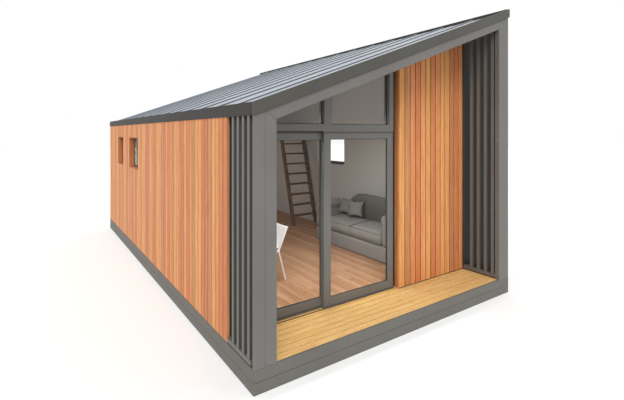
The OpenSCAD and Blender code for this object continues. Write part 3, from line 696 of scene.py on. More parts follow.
lo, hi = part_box("back_cladding")
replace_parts(end_boards("back_boards", [lo.x, hi.x], lo.y, hi.y, lo.z), "back_cladding")
lo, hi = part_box("front_cladding")
face = end_boards("front_boards", [lo.x, hi.x], lo.y + CLAD, lo.y, lo.z)
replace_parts(face, "front_cladding")
edges = set_out([lo.y + CLAD, hi.y], BOARD_W)
boards("front_return_boards", edges, flat(edges, lo.z), flat(edges, under(lo.x) - ROOF_GAP), CLAD,
       lambda u, w, t: (lo.x + CLAD - w, u, t), "cladding_wood")
print("front boards", round(hi.x - lo.x, 3), "m wide")

# %% [markdown]
# The porch deck is grooved boards that run along the front. A groove is a wave across the board, so the
# profile is that wave, closed below by the board's flat underside.

# %% Deck
DECK_W = 0.107
GROOVE_PITCH = 0.0119
GROOVE_DEPTH = 0.0022
DECK_JOINT = 0.005
DECK_END = 0.003
SHOULDER = 0.004
GROOVE_POINTS = 55
GROOVE_SHADE = 0.32
EDGE_SHADE = 0.65
lo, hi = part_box("porch_deck")
edges = set_out([lo.y, hi.y], DECK_W)
across = np.linspace(0, 1, GROOVE_POINTS)
width = (edges[:, 1] - edges[:, 0] - DECK_JOINT)[:, None]
y = edges[:, :1] + DECK_JOINT / 2 + across * width
wave = 0.5 - 0.5 * np.cos(2 * np.pi * np.round(width / GROOVE_PITCH) * across)
shoulder = np.where((across == 0) | (across == 1), SHOULDER, 0.0)
z = hi.z - GROOVE_DEPTH * wave - shoulder
y = np.concatenate([y, y[:, -1:], y[:, :1]], axis=1)
z = np.concatenate([z, np.full((len(edges), 2), lo.z)], axis=1)
ends = [np.stack([np.full_like(y, x), y, z], axis=-1) for x in (lo.x + DECK_END, hi.x - DECK_END)]
points, faces = prisms(np.stack(ends, axis=1))
number = np.repeat(random.random(len(edges)), 2 * y.shape[1])
# The grooves and the boards' edges are darkened through the number "joint": painted shade.
depth = np.concatenate([GROOVE_SHADE * wave + EDGE_SHADE * (shoulder > 0), np.ones((len(edges), 2))], axis=1)
depth = np.repeat(depth[:, None], 2, axis=1).ravel()
deck = piece_from("deck_boards", points, faces, "deck_wood", values={"board": number, "joint": depth})
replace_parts(deck, "porch_deck")
print("deck boards", len(edges))

# %% [markdown]
# The room's floor is planks that run towards the back, in rows whose end joints are staggered as a
# floor layer does it. Each row is cut at its own random places.

# %% Floor planks
PLANK_W = 0.095
PLANK_L = 1.3
PLANK_GAP = 0.0006
PLANK_JOINT, PLANK_EASE = 0.0016, 0.0012
SHORTEST = 0.02
lo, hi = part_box("floor_boards")
rows = set_out([lo.x, hi.x], PLANK_W)
count = math.ceil((hi.y - lo.y) / PLANK_L) + 1
starts = lo.y - random.random(len(rows)) * PLANK_L
cuts = np.clip(starts[:, None] + PLANK_L * np.arange(count + 1), lo.y, hi.y)
a, b = cuts[:, :-1].ravel(), cuts[:, 1:].ravel()
keep = b - a > SHORTEST
planks = np.repeat(rows, count, axis=0)[keep]
a, b = a[keep][:, None] + np.zeros(2), b[keep][:, None] + np.zeros(2)
floor_planks = boards("floor_planks", planks, a + PLANK_GAP, b - PLANK_GAP, hi.z - lo.z,
                      lambda u, w, t: (u, t, lo.z + w), "floor_wood", PLANK_JOINT, PLANK_EASE)
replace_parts(floor_planks, "floor_boards")
print("planks", len(planks))

# %% [markdown]
# The roof is metal sheet in pans, joined by standing seams. The CAD sheet has plain ribs; a roofer folds
# the two pans' edges over each other, which leaves a thin web with a thicker folded head, and presses
# two low ribs into each pan to keep it flat. All of it is one profile across the pans, carried up the slope.
# The folds are painted darker, as shade, so the profile's points also carry how deep in a fold they lie.

# %% Roof pans
PAN_W = 0.566
SEAM_H = 0.018
SHEET_T = 0.0075
SEAM = np.array([(-0.012, 0), (-0.005, 0.001), (-0.0035, 0.004), (-0.0035, 0.0105), (-0.007, 0.0115),
                 (-0.007, 0.0170), (-0.005, SEAM_H), (0.005, SEAM_H), (0.007, 0.0170), (0.007, 0.0115),
                 (0.0035, 0.0105), (0.0035, 0.004), (0.005, 0.001), (0.012, 0)])
RIB = np.array([(-0.016, 0), (-0.008, 0.004), (0.008, 0.004), (0.016, 0)])
SEAM_SHADE = np.array([0.3, 1, 0.8, 0.7, 0.5, 0.1, 0, 0, 0.1, 0.5, 0.7, 0.8, 1, 0.3])
RIB_SHADE = np.array([0.4, 0, 0, 0.4])
lo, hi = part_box("roof_sheet")
slope_half = hi.x / math.cos(PITCH)
sheet_base = lo.z + hi.x * RISE
side_seams = int(hi.y / PAN_W)
seams = np.arange(-side_seams, side_seams + 1) * PAN_W
pan = np.concatenate([SEAM, RIB + [PAN_W / 3, 0], RIB + [PAN_W * 2 / 3, 0]])
profile = (seams[:-1, None, None] * [1, 0] + pan).reshape(-1, 2)
profile = np.concatenate([[(lo.y, 0)], profile, SEAM + [seams[-1], 0], [(hi.y, 0)]])
profile = np.concatenate([profile + [0, SHEET_T], [(hi.y, 0), (lo.y, 0)]])
pan_shade = np.concatenate([SEAM_SHADE, RIB_SHADE, RIB_SHADE])
fold_shade = np.concatenate([[0], np.tile(pan_shade, len(seams) - 1), SEAM_SHADE, [0, 0, 0]])


def on_slope(along, y, off):
    """A point of the roof: along the slope from the middle line, at y, and off the panel's top."""
    return np.stack([along * math.cos(PITCH) - off * math.sin(PITCH), y + 0 * along,
                     sheet_base + along * math.sin(PITCH) + off * math.cos(PITCH)], axis=-1)


along = np.array([-slope_half, slope_half])[:, None]
points, faces = carried(on_slope(along, profile[:, 0], profile[:, 1]))
roof_pans = piece_from("roof_pans", points, faces, "roof_metal", values={"fold_shade": np.tile(fold_shade, 2)})
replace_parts(roof_pans, "roof_sheet")
print("roof pans", len(seams), "seams, profile", len(profile), "points")

# %% [markdown]
# Each pane is held on both faces by a sloped bead in the leaf's own colour, with a thin line of dark rubber
# between bead and glass. Both are strips with a small cross-section that go round the pane and are mitred at
# the corners: the section is carried round the outline, and at a corner it is moved along the line that
# halves the angle, by as much as keeps its width.

# %% Strips round panes
BEAD = np.array([(0, 0), (0.0045, 0), (0.0045, 0.0025), (0.0012, 0.0092), (0, 0.0092)])
RUBBER = np.array([(0.0045, 0), (0.0080, 0), (0.0074, 0.0012), (0.0045, 0.0016)])
# This dark rubber is the gaskets' own colour, and also that of strips further on which stand for shade in
# joints: painted shade.
FINISH["gasket"] = painted("rubber_and_shade_coat", (38, 38, 38), 0.6, depth=0.15)


def ring(outline, section):
    """A closed strip: outline (corners, 2) runs anticlockwise in its plane, section holds (inward, out)
    pairs. A corner moves by inward times the sum of its two edges' inward normals over one plus their
    product."""
    edge = np.roll(outline, -1, axis=0) - outline
    edge = edge / np.linalg.norm(edge, axis=1, keepdims=True)
    normal = np.stack([-edge[:, 1], edge[:, 0]], axis=1)
    before = np.roll(normal, 1, axis=0)
    mitre = (before + normal) / (1 + (before * normal).sum(axis=1))[:, None]
    flat_part = outline[:, None] + section[None, :, :1] * mitre[:, None]
    out = np.broadcast_to(section[None, :, 1:], (len(outline), len(section), 1))
    return np.concatenate([flat_part, out], axis=-1)


def torus_faces(rows, columns, offset=0):
    """Quads of a grid that closes on itself both ways."""
    index = np.arange(rows * columns).reshape(rows, columns) + offset
    return grid_quads(np.pad(index, ((0, 1), (0, 1)), mode="wrap"))


def strips(name, rings, slot, body="cabin", finish=None):
    """Several rings, each (corners, section points, 3) in place, as one piece."""
    faces, offset = [], 0
    for spots in rings:
        faces.append(torus_faces(*spots.shape[:2], offset))
        offset += spots.shape[0] * spots.shape[1]
    points = np.concatenate([r.reshape(-1, 3) for r in rings])
    return piece_from(name, points, faces, slot, body, finish=finish)


def rectangle(u0, u1, v0, v1):
    """Corners of an upright rectangle, anticlockwise."""
    return np.array([(u0, v0), (u1, v0), (u1, v1), (u0, v1)])


def both_faces(outline, low, high, axis, section):
    """A strip on both faces of a pane that stands across the axis 0 or 1, from low to high."""
    strip = ring(outline, section)
    u, v, out = strip[..., 0], strip[..., 1], strip[..., 2]
    order = (lambda w: (w, u, v)) if axis == 0 else (lambda w: (u, w, v))
    return [np.stack(order(high + out), axis=-1), np.stack(order(low - out), axis=-1)]


def glaze(name, panes, slot, body="cabin"):
    """Beads and rubber lines round panes, each pane given as its outline, two faces and axis."""
    for part, section, finish in (("beads", BEAD, slot), ("gaskets", RUBBER, "gasket")):
        rings = [strip for pane in panes for strip in both_faces(*pane, section)]
        strips(f"{name}_{part}", rings, slot, body, finish)


print("bead", BEAD[1, 0], "m and rubber", round(RUBBER[1, 0] - RUBBER[0, 0], 4), "m wide")

# %% [markdown]
# The panes of the two leaves are plain rectangles; the sliding leaf's strips ride on the door and slide with
# it. The lights above the transom end in the roof's slope, so their outline has a sloping head, which the
# mitre follows by itself.

# %% Beads of the glazed front
for node, name in (("fixed_glass", "fixed"), ("sliding_glass", "sliding")):
    lo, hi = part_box(node)
    glaze(name, [(rectangle(lo.x, hi.x, lo.z, hi.z), lo.y, hi.y, 1)], "door_metal", BODY_OF[node])

HEAD_BAR = 0.0703
MULLION = (-0.811, -0.696)
lo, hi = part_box("upper_glass")
panes = []
for x0, x1 in ((lo.x, MULLION[0]), (MULLION[1], hi.x)):
    outline = np.array([(x0, lo.z), (x1, lo.z), (x1, under(x1) - HEAD_BAR), (x0, under(x0) - HEAD_BAR)])
    panes.append((outline, lo.y, hi.y, 1))
glaze("upper", panes, "door_metal")
print("beads and gaskets on", 2 + len(panes), "panes of the front")

# %% [markdown]
# Between the glazed front and the timber panel lies a narrow gap in shade, which shows as a dark line. A
# painted line would do from the front; a dark angle set into the gap also holds from the side. Its darkness
# is painted shade.

# %% Corner trim
TRIM_LEG = 0.018
TRIM_T = 0.003
TRIM_GAP = 0.002
GAP_DEPTH = 0.050
CLEAR = 0.0003
jamb_low, jamb_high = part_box("glazing_jambs")
leaf_low, leaf_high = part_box("fixed_leaf")
x0, x1, y1 = leaf_high.x + TRIM_GAP, jamb_high.x - CLEAR, jamb_low.y + GAP_DEPTH - CLEAR
angle = np.array([(x0, y1), (x1, y1), (x1, y1 - TRIM_LEG), (x1 - TRIM_T, y1 - TRIM_LEG),
                  (x1 - TRIM_T, y1 - TRIM_T), (x0, y1 - TRIM_T)])
heights = (jamb_low.z + TRIM_GAP, under(x0) - HEAD_BAR)
points, faces = carried([np.column_stack([angle, np.full(len(angle), z)]) for z in heights])
piece_from("corner_shade_angle", points, faces, "door_metal", finish="gasket")
print("dark angle in the gap beside the timber,", TRIM_LEG, "m wide")

# %% [markdown]
# The windows' panes stand in the side walls, so their strips lie across the other axis.

# %% Beads of the windows
CASEMENT = 0.032
GLASS_T = 0.024
lo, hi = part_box("window_glass")
panes = []
for windows, x0 in ((LOW_WINDOWS, lo.x), (HIGH_WINDOWS, hi.x - GLASS_T)):
    for centre, width in windows:
        reach = width / 2 - CASEMENT
        outline = rectangle(centre - reach, centre + reach, WINDOW_Z[0] + CASEMENT,
                            WINDOW_Z[1] - CASEMENT)
        panes.append((outline, x0, x0 + GLASS_T, 0))
glaze("window", panes, "window_metal")
print("beads and gaskets on", len(panes), "windows")

# %% [markdown]
# Dark lines show where one part ends against the next, where the joint lies in shade: a brush at the head of
# the sliding leaf, a rubber line over the fixed leaf, a seal at the foot of timber and track on the deck, and
# a tape in the joint between the base's two courses. They are seals a builder fits, and their dark rubber
# also stands for the
# shade in those joints: painted shade. Each could be a painted line, but only a real strip looks right from
# every side; so a small section is carried along a straight run, or round the base.

# %% Seals
END_GAP = 0.001
BRUSH = np.array([(-0.0015, 0), (0.0015, 0), (0.0009, -0.010), (-0.0009, -0.010)])
HEAD_LINE = np.array([(0, 0), (-0.0032, 0), (-0.0026, -0.008), (0, -0.008)])
FOOT_LINE = np.array([(0.001, 0), (-0.005, 0), (-0.004, 0.004), (-0.0015, 0.008), (0.001, 0.008)])
TAPE = np.array([(0.0004, -0.003), (0.004, -0.003), (0.004, 0.003), (0.0004, 0.003)])
head_low, slide_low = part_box("transom")[0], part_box("sliding_leaf")[0]
deck_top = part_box("porch_deck")[1].z
clad_low, clad_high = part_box("front_cladding")
track_low, track_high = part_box("door_track")
lane_gap = (leaf_high.y + slide_low.y) / 2


def runs(name, slot, lines):
    """Straight strips along X: each line is a section of (y, z) pairs, its two ends' x, and the y and z that
    the section is set at."""
    for number, (section, x0, x1, y, z) in enumerate(lines):
        points, faces = carried([np.column_stack([np.full(len(section), x), section + [y, z]])
                                 for x in (x0, x1)])
        piece_from(f"{name}_{number + 1}", points, faces, slot, finish="gasket")


runs("head_seal_and_shade", "door_metal", [
    (BRUSH, slide_low.x + END_GAP, leaf_low.x - 2 * END_GAP, lane_gap, head_low.z),
    (HEAD_LINE, leaf_low.x, leaf_high.x, leaf_low.y, head_low.z)])
runs("foot_seal_and_shade", "door_metal", [
    (FOOT_LINE, clad_low.x, clad_high.x, clad_low.y, deck_top),
    (FOOT_LINE, track_low.x, track_high.x, track_low.y, deck_top)])
base_low, base_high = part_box("plinth_end_beams")
tape = ring(rectangle(base_low.x, base_high.x, base_low.y, base_high.y), TAPE)
strips("base_joint_shade", [tape + [0, 0, base_high.z]], "grey_frame", finish="gasket")
print("seals at head and foot, and a tape round the base at", round(base_high.z, 3), "m")

# %% [markdown]
# The sofa is stuffed, so its pieces are worked out as padded forms. Each one starts as the skin of a box
# on a lattice of points, which keeps all its edges shared, and is then bent to its own shape and rounded.
# A rounded edge is the box's inner core plus a fixed radius towards the point.


# %% Padded forms
def skin(counts):
    """Surface points of a unit box on a lattice, the quads between them, and each lattice place's number."""
    number = np.full([c + 1 for c in counts], -1)
    shell = np.ones(number.shape, bool)
    shell[1:-1, 1:-1, 1:-1] = False
    number[shell] = np.arange(shell.sum())
    spans = [np.linspace(0, 1, c + 1) for c in counts]
    places = np.stack(np.meshgrid(*spans, indexing="ij"), axis=-1)[shell]
    sides = [number[0], number[-1], number[:, 0], number[:, -1], number[:, :, 0], number[:, :, -1]]
    return places, [np.concatenate([grid_quads(side) for side in sides])], number


def rounded(points, low, high, radius):
    """The points of a box from low to high with its edges rounded: the nearest point of the core, which is
    the box less the radius on every side, plus the radius in the direction from there to the point."""
    core = np.clip(points, low + radius, high - radius)
    away = points - core
    return core + radius * away / np.maximum(np.linalg.norm(away, axis=1, keepdims=True), 1e-9)


def bulge(t):
    """A hump over 0 to 1: nothing at both ends, 1 in the middle, a parabola between."""
    return 1 - (2 * t - 1) ** 2


SOFA_LOW, SOFA_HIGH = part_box("sofa_base")
BACK_LOW, BACK_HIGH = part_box("sofa_back")
SEAT_LOW, SEAT_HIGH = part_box("sofa_cushions")
ARM_LOW, ARM_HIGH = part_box("sofa_arms")
SOFA_L = SOFA_HIGH.y - SOFA_LOW.y
SOFA_EASE = 0.004
FOOT_GAP = 0.001
print("sofa", round(SOFA_L, 3), "m long, seat at", round(SEAT_HIGH.z, 3))

# %% [markdown]
# Stuffing presses the cover out from within and the cloth resists. Blender's cloth does the same with a
# pressure and no gravity. Twenty steps are enough; no point may go further than a cap, because a sewn cover
# can't stretch much, and where the piece rests on something its points are held.


# %% Stuffing
PRESSURE = 3.0
FRAMES = 20


def spots_of(mesh):
    """The mesh's points as an array (n, 3)."""
    spots = np.empty(len(mesh.vertices) * 3, np.float32)
    mesh.vertices.foreach_get("co", spots)
    return spots.reshape(-1, 3)


def set_spots(mesh, spots):
    """Move the mesh's points to the places in an array (n, 3)."""
    mesh.vertices.foreach_set("co", np.ascontiguousarray(spots, np.float32).ravel())
    mesh.update()


def inflate(piece, cap, held=None):
    """Cloth blown up from within: no point moves further than cap, held points stay. The result is kept."""
    start = spots_of(piece.data)
    stuffing = piece.modifiers.new("stuffing", "CLOTH")
    settings = stuffing.settings
    settings.quality = 6
    settings.mass = 0.2
    settings.tension_stiffness = settings.compression_stiffness = 20
    settings.bending_stiffness = 0.3
    settings.use_pressure = True
    settings.uniform_pressure_force = PRESSURE
    settings.effector_weights.gravity = 0
    if held is not None:
        group = piece.vertex_groups.new(name="held")
        group.add(np.flatnonzero(held).tolist(), 1.0, "REPLACE")
        settings.vertex_group_mass = "held"
    stuffing.point_cache.frame_start, stuffing.point_cache.frame_end = 1, FRAMES
    scene = bpy.context.scene
    for number in range(1, FRAMES + 1):
        scene.frame_set(number)
    blown = piece.evaluated_get(bpy.context.evaluated_depsgraph_get())
    moved = spots_of(blown.data) - start
    piece.modifiers.remove(stuffing)
    scene.frame_set(1)
    reach = np.linalg.norm(moved, axis=1, keepdims=True)
    set_spots(piece.data, start + moved * np.minimum(1, cap / np.maximum(reach, 1e-9)))


def soften(piece):
    """One level of subdivision, which rounds the piece."""
    rounder = piece.modifiers.new("rounder", "SUBSURF")
    rounder.levels = rounder.render_levels = 1
    return piece


print("stuffing", f"in {FRAMES} steps")

# %% [markdown]
# Piping is a cord in a strip of cloth, sewn between two panels. Here it is a thin tube along a closed line of
# a piece's own points, taken after the stuffing, so that it lies on the seam.


# %% Piping
def rim(side):
    """The numbers round the border of one side of a lattice, in order."""
    return np.concatenate([side[:-1, 0], side[-1, :-1], side[:0:-1, -1], side[0, :0:-1]])


PIPE_R = 0.005
PIPE_TURN = np.linspace(0, 2 * np.pi, 8, endpoint=False)[None, :, None]


def tube(path, square):
    """A closed tube along path: at each point a circle, spanned by the steady direction square and by the one
    at right angles to it and to the path."""
    side = np.cross(np.roll(path, -1, axis=0) - np.roll(path, 1, axis=0), square)
    side /= np.linalg.norm(side, axis=1, keepdims=True)
    return path[:, None] + PIPE_R * (np.cos(PIPE_TURN) * side[:, None] + np.sin(PIPE_TURN) * np.array(square))


# The piping's cloth is darker than the sofa's: painted shade along the seams.
FINISH["piping"] = cloth("piping_shade_cloth", (92, 89, 85), 240.0, sheen=0.05)
print("piping", 2 * PIPE_R, "m thick")

# %% [markdown]
# The base is an upholstered box down to the floor. Its cloth is pulled tight, so it only bulges a few
# millimetres between its edges.

# %% Sofa base
BASE_LATTICE = (18, 44, 8)
BASE_R = 0.014
BASE_BULGE = 0.004
places, faces, number = skin(BASE_LATTICE)
low = np.array(SOFA_LOW) + [SOFA_EASE, SOFA_EASE, FOOT_GAP]
high = np.array(SOFA_HIGH) - [0, SOFA_EASE, 0]
points = rounded(low + places * (high - low), low, high, BASE_R)
points[:, 0] -= BASE_BULGE * bulge(places[:, 2]) * (places[:, 0] == 0)
base_cover = piece_from("sofa_base_cover", points, faces, "sofa_fabric", smooth=True)
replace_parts(soften(base_cover), "sofa_base")
print("base", len(points), "points")

# %% [markdown]
# Two loose seat cushions lie on the base. A foam cushion is crowned on top, its front falls away in a soft
# round, its sides pull in between the corners, and it lies flat on the base; the cloth is blown up a little
# so that it strains over the foam. A piping is sewn into the seams round its upper and lower panel: a thin
# tube along the border of those two sides of the lattice.

# %% Seat cushions
SEAT_LATTICE = (34, 50, 12)
CUSHION_EASE, CUSHION_HEAD = 0.007, 0.008
CUSHION_R = 0.028
CUSHION_SWELL = 0.010
SEAT_HELD = 0.2
SIDE_PULL = 0.005
SEAT_RAKE = 0.045
SEAT_CROWN = 0.018
middle = (SEAT_LOW.y + SEAT_HIGH.y) / 2
seams = []
for name, y0, y1 in (("near", SEAT_LOW.y, middle), ("far", middle, SEAT_HIGH.y)):
    places, faces, number = skin(SEAT_LATTICE)
    low = np.array([SEAT_LOW.x + SOFA_EASE, y0 + CUSHION_EASE, SEAT_LOW.z])
    high = np.array([SEAT_HIGH.x - SOFA_EASE, y1 - CUSHION_EASE, SEAT_HIGH.z - SEAT_RAKE - CUSHION_HEAD])
    points = rounded(low + places * (high - low), low, high, CUSHION_R)
    u, v, w = places.T
    points[:, 2] += w * (SEAT_CROWN * bulge(v) ** 0.6 * bulge(u) ** 0.4 + SEAT_RAKE * u)
    points[:, 1] += (1 - 2 * v) * SIDE_PULL * bulge(w) * bulge(u)
    # The crease number darkens the cushion's rear and its lower edge: painted shade.
    crease = {"crease": np.maximum(u ** 5, 0.7 * (1 - w) ** 3)}
    cushion = piece_from(name + "_seat_cushion", points, faces, "sofa_fabric", smooth=True, values=crease)
    inflate(cushion, CUSHION_SWELL, held=w < SEAT_HELD)
    seams += [tube(spots_of(cushion.data)[rim(number[:, :, k])], (0, 0, 1)) for k in (0, -1)]
    soften(cushion)
    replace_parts(cushion, "sofa_cushions")
strips("cushion_piping", seams, "sofa_fabric", finish="piping")
print("seat cushions to z", round(SEAT_HIGH.z, 3))

# %% [markdown]
# The back is a camel back: its top is level at both ends and rises in one hump. The height at a place
# along it is the end's height plus a raised cosine of the distance from the middle, so the lattice box is
# stretched up to that height, and its edges rounded after that. The top falls towards the rear, so the piped
# edge of its front panel is the line that one sees.

# %% Sofa back
BACK_LATTICE = (8, 72, 26)
BACK_H = 0.495
BACK_R = 0.045
BACK_HELD = 0.1
BACK_FRONT = 0.006
BACK_BULGE = BACK_SWELL = 0.010
BACK_FALL = 0.085
HUMP_H = 0.215
HUMP_W = 1.5
HUMP_POWER = 2.2


def back_top(v):
    """Height of the back over the base, v from 0 to 1 along it: a raised cosine of a power of the distance
    from the middle."""
    away = np.minimum(1, np.abs(2 * v - 1) * SOFA_L / HUMP_W)
    return BACK_H + HUMP_H * (1 + np.cos(np.pi * away ** HUMP_POWER)) / 2


places, faces, number = skin(BACK_LATTICE)
u, v, w = places.T
low = np.array([BACK_LOW.x + BACK_FRONT, BACK_LOW.y + SOFA_EASE, BACK_LOW.z])
top = low[2] + back_top(v) - BACK_FALL * u - SOFA_EASE
high = np.stack([np.full(len(u), BACK_HIGH.x), np.full(len(u), BACK_HIGH.y - SOFA_EASE), top], axis=1)
points = rounded(low + places * (high - low), low, high, BACK_R)
points[:, 0] -= BACK_BULGE * bulge(w) * (u == 0)
# The crease number darkens the back towards the seat: painted shade.
crease = {"crease": 1 - 0.5 * w}
back = piece_from("sofa_camel_back", points, faces, "sofa_fabric", smooth=True, values=crease)
inflate(back, BACK_SWELL, held=(u == 1) | (w < BACK_HELD))
seam = tube(spots_of(back.data)[rim(number[0])], (1, 0, 0))
strips("back_piping", [seam], "sofa_fabric", finish="piping")
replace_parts(soften(back), "sofa_back")
print("back from", round(back_top(0.0), 3), "to", round(back_top(0.5), 3), "over the base")

# %% [markdown]
# The arms are rolled: a narrower upright with a round roll on top. The outline of that section is carried
# from the back to the front, where it draws in to a rounded front panel, piped round its border.

# %% Sofa arms
ROLL = 0.105
ROLL_ARC = (-40, 220)
NECK, THROAT = 0.8, 0.98
FRONT_R = 0.022
ARM_STEPS = 16
ARM_H = ARM_HIGH.z - ARM_LOW.z
turn = np.radians(np.linspace(*ROLL_ARC, 41))
roll = np.stack([ROLL * np.cos(turn), ARM_H - ROLL + ROLL * np.sin(turn)], axis=1)
rise = np.linspace(FOOT_GAP, roll[0, 1], 9)[:-1]
right = np.stack([np.interp(rise, [0, rise[-1]], [NECK * ROLL, roll[0, 0] * THROAT]), rise], axis=1)
outline = np.concatenate([right, roll, (right * [-1, 1])[::-1]])
quarter = np.radians(np.linspace(0, 90, 7))
straight = np.linspace(ARM_LOW.x, ARM_HIGH.x, ARM_STEPS)[1:]
stations = np.concatenate([ARM_LOW.x + FRONT_R * (1 - np.sin(quarter)), straight])
inset = np.concatenate([FRONT_R * (1 - np.cos(quarter)), 0 * straight])
order = np.argsort(stations)
stations, inset = stations[order], inset[order]
centre = np.array([0, ARM_H - ROLL])
section = centre + (outline - centre) * (1 - inset[:, None, None] / ROLL)
section[..., 1] = np.maximum(section[..., 1], FOOT_GAP)
borders = []
for name, y in (("near", ARM_LOW.y + ROLL), ("far", ARM_HIGH.y - ROLL)):
    across, up = section[..., 0], section[..., 1]
    spots = np.stack([stations[:, None] + 0 * up, y + across, ARM_LOW.z + up], axis=-1)
    index = np.arange(up.size).reshape(up.shape)
    faces = [grid_quads(np.pad(index, ((0, 0), (0, 1)), mode="wrap")), index[:1], index[-1:]]
    arm = piece_from(name + "_sofa_arm", spots.reshape(-1, 3), faces, "sofa_fabric", smooth=True)
    borders.append(tube(spots[len(quarter) // 2], (1, 0, 0)))
    soften(arm)
    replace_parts(arm, "sofa_arms")
strips("arm_piping", borders, "sofa_fabric", finish="piping")
print("arms", round(ARM_H, 3), "m over the base")

# %% [markdown]
# Two scatter pillows lean on the back. A pillow is two square pieces of cloth sewn along their edges: two
# grids that share their border, with sides that pull in between the corners, blown up like the real filling
# does, which also puckers the edges. It is then leaned back and turned as in the CAD.

# %% Pillows
PILLOW_W = 0.340
PILLOW_T = 0.120
PILLOW_LEAN = math.radians(20)
PILLOW_PULL = 0.07
PILLOW_SWELL = 0.024
START_DOME = 0.33
CAD_DOME, CAD_DISC = 0.35, 0.72
PILLOW_N = 32
PILLOWS = {"near": (0.600, 26), "far": (0.240, 8)}


def pillow_points():
    """Two grids over the square from -1 to 1: the sides pull in by a parabola between the corners, and each
    face domes by the root of the two parabolas' product. Also the faces, and the crease number, which is
    painted shade: some all over, growing towards the seam."""
    a, b = np.meshgrid(*[np.linspace(-1, 1, PILLOW_N + 1)] * 2, indexing="ij")
    y = a * (1 - PILLOW_PULL * (1 - b ** 2))
    z = b * (1 - PILLOW_PULL * (1 - a ** 2))
    dome = np.sqrt(np.maximum((1 - a ** 2) * (1 - b ** 2), 0))
    face = np.arange(a.size).reshape(a.shape)
    inside = np.zeros(a.shape, bool)
    inside[1:-1, 1:-1] = True
    other = face.copy()
    other[inside] = a.size + np.arange(inside.sum())
    front = np.stack([-dome * PILLOW_T * START_DOME, y * PILLOW_W / 2, z * PILLOW_W / 2], axis=-1)
    behind = front * [-1, 1, 1]
    # Painted shade: some over the whole pillow, more towards the seam.
    edge = np.maximum(np.abs(a), np.abs(b)) ** 8
    crease = 0.25 + 0.6 * np.concatenate([edge.ravel(), edge[inside]])
    points = np.concatenate([front.reshape(-1, 3), behind[inside]])
    return points, [grid_quads(face), grid_quads(other)], crease


# The CAD pillow is the part that two balls share; its half thickness at the edge says how far to set it off.
dome = PILLOW_T * CAD_DOME
pillow_r = ((PILLOW_W * CAD_DISC) ** 2 + dome ** 2) / (2 * dome)
pillow_edge = PILLOW_T / 2 - pillow_r + math.sqrt(pillow_r ** 2 - (PILLOW_W / 2) ** 2)
reach = pillow_edge * math.cos(PILLOW_LEAN) + PILLOW_W * math.sin(PILLOW_LEAN)
lean = PILLOW_LEAN
leaned = np.array([[math.cos(lean), 0, math.sin(lean)], [0, 1, 0], [-math.sin(lean), 0, math.cos(lean)]])
for name, (away, angle) in PILLOWS.items():
    points, faces, crease = pillow_points()
    pillow = piece_from(name + "_pillow", points, faces, "sofa_fabric", smooth=True,
                        values={"crease": crease})
    inflate(pillow, PILLOW_SWELL)
    spots = spots_of(pillow.data) + [0, 0, PILLOW_W / 2]
    way = math.radians(angle)
    turned = np.array([[math.cos(way), -math.sin(way), 0], [math.sin(way), math.cos(way), 0], [0, 0, 1]])
    depth = reach * math.cos(way) + PILLOW_W / 2 * math.sin(way)
    foot = [BACK_LOW.x - depth, SEAT_HIGH.y - away, SEAT_HIGH.z + pillow_edge * math.sin(lean)]
    set_spots(pillow.data, spots @ (turned @ leaned).T + foot)
    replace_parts(soften(pillow), "sofa_pillows")
print("pillows", sorted(PILLOWS))

# %% [markdown]
# The chair's seat is one strip of canvas stretched between two rods. Its path goes round the front rod,
# straight to the hip, round it in a soft bend and straight up to the rod at the crown. The bend is a parabola
# between the two straight lines, and the whole path is then shared out into even steps.

# %% Path of the sling
ROD_R = 0.0075
BEND = 0.11
LAP = 200
knots = np.array([(-0.230, 0.470), (0.130, 0.430), (0.270, 0.755)])


def unit(v):
    """v at length 1."""
    return v / np.linalg.norm(v)


to_front, to_crown = unit(knots[0] - knots[1]), unit(knots[2] - knots[1])
t = np.linspace(0, 1, 17)[:, None]
bend = knots[1] + BEND * ((1 - t) ** 2 * to_front + t ** 2 * to_crown)


def wrap(rod, start, stop):
    """An arc round a rod, from one angle to another in degrees."""
    turn = np.radians(np.linspace(start, stop, 13))
    return rod + ROD_R * np.stack([np.cos(turn), np.sin(turn)], axis=1)


def off_line(a, b):
    """The direction, in degrees, at right angles to the line from a to b."""
    return math.degrees(math.atan2(*(b - a)[::-1])) + 90


lean_front, lean_crown = off_line(*knots[:2]), off_line(*knots[1:])
lift = ROD_R * np.array([math.cos(math.radians(lean_front)), math.sin(math.radians(lean_front))])
path = np.concatenate([wrap(knots[0], lean_front + LAP, lean_front), bend + lift,
                       wrap(knots[2], lean_crown, lean_crown - LAP)])
step = np.concatenate([[0], np.cumsum(np.linalg.norm(np.diff(path, axis=0), axis=1))])
even = np.linspace(0, step[-1], 70)
path = np.stack([np.interp(even, step, path[:, i]) for i in (0, 1)], axis=1)
print("sling path", round(float(even[-1]), 3), "m long")

# %% [markdown]
# The canvas is a grid along that path. Its edges draw in a little between the rods, as taut cloth does, by a
# parabola along the path. Flat on a table it would be as long as the path and as wide as it is at the rods.

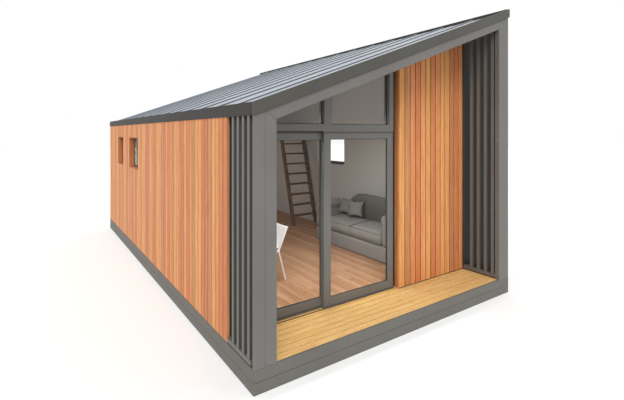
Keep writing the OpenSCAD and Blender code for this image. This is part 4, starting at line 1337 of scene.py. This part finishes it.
# %% Chair sling
CHAIR_X = -0.950
CHAIR_LOW, CHAIR_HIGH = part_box("chair_sling")
ROOM_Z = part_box("chair_frame")[0].z
CANVAS_T = 0.0014
EDGE_GAP = 0.004
DRAW_IN = 0.03
side = np.linspace(-1, 1, 25)
half = (CHAIR_HIGH.y - CHAIR_LOW.y) / 2 - EDGE_GAP
waist = 1 - DRAW_IN * bulge(even / even[-1])
y = (CHAIR_LOW.y + CHAIR_HIGH.y) / 2 + half * side[None] * waist[:, None]
points = np.stack([CHAIR_X + path[:, :1] + 0 * y, y, ROOM_Z + path[:, 1:] + 0 * y], axis=-1)
faces = [grid_quads(np.arange(y.size).reshape(y.shape))]
sling = piece_from("chair_canvas", points.reshape(-1, 3), faces, "chair_fabric", smooth=True)
thick = sling.modifiers.new("thickness", "SOLIDIFY")
thick.thickness = CANVAS_T
thick.offset = 0
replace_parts(sling, "chair_sling")
print("sling", round(2 * half, 3), "by", round(float(even[-1]), 3), "m flat")

# %% [markdown]
# Last, the floor. It is one large pale sheet that only takes the shadow and isn't part of the cabin. Where
# the camera or a pane looks at it, a faint glow lifts it to white.

# %% Floor
FLOOR_GLOW = 0.13
FLOOR_TONE = (0.93, 0.93, 0.93, 1.0)
REACH = 60.0
floor_finish, tree, shader, _ = material("studio_floor")
shader.inputs["Base Color"].default_value = FLOOR_TONE
shader.inputs["Roughness"].default_value = 0.95
shader.inputs["Emission Color"].default_value = (1, 1, 1, 1)
glow = calc(tree, "MULTIPLY", looked_at(tree), FLOOR_GLOW)
tree.links.new(glow, shader.inputs["Emission Strength"])
mesh = bpy.data.meshes.new("studio_floor")
corners = np.column_stack([rectangle(-REACH, REACH, -REACH, REACH), np.zeros(4)])
mesh.from_pydata(corners.tolist(), [], [(0, 1, 2, 3)])
mesh.materials.append(floor_finish)
studio_floor = bpy.data.objects.new("studio_floor", mesh)
bpy.context.scene.collection.objects.link(studio_floor)
print("floor to", REACH, "m on each side")

# %% [markdown]
# The finished cabin must be as large as its frame.

# %% Sizes
print("scene finished")
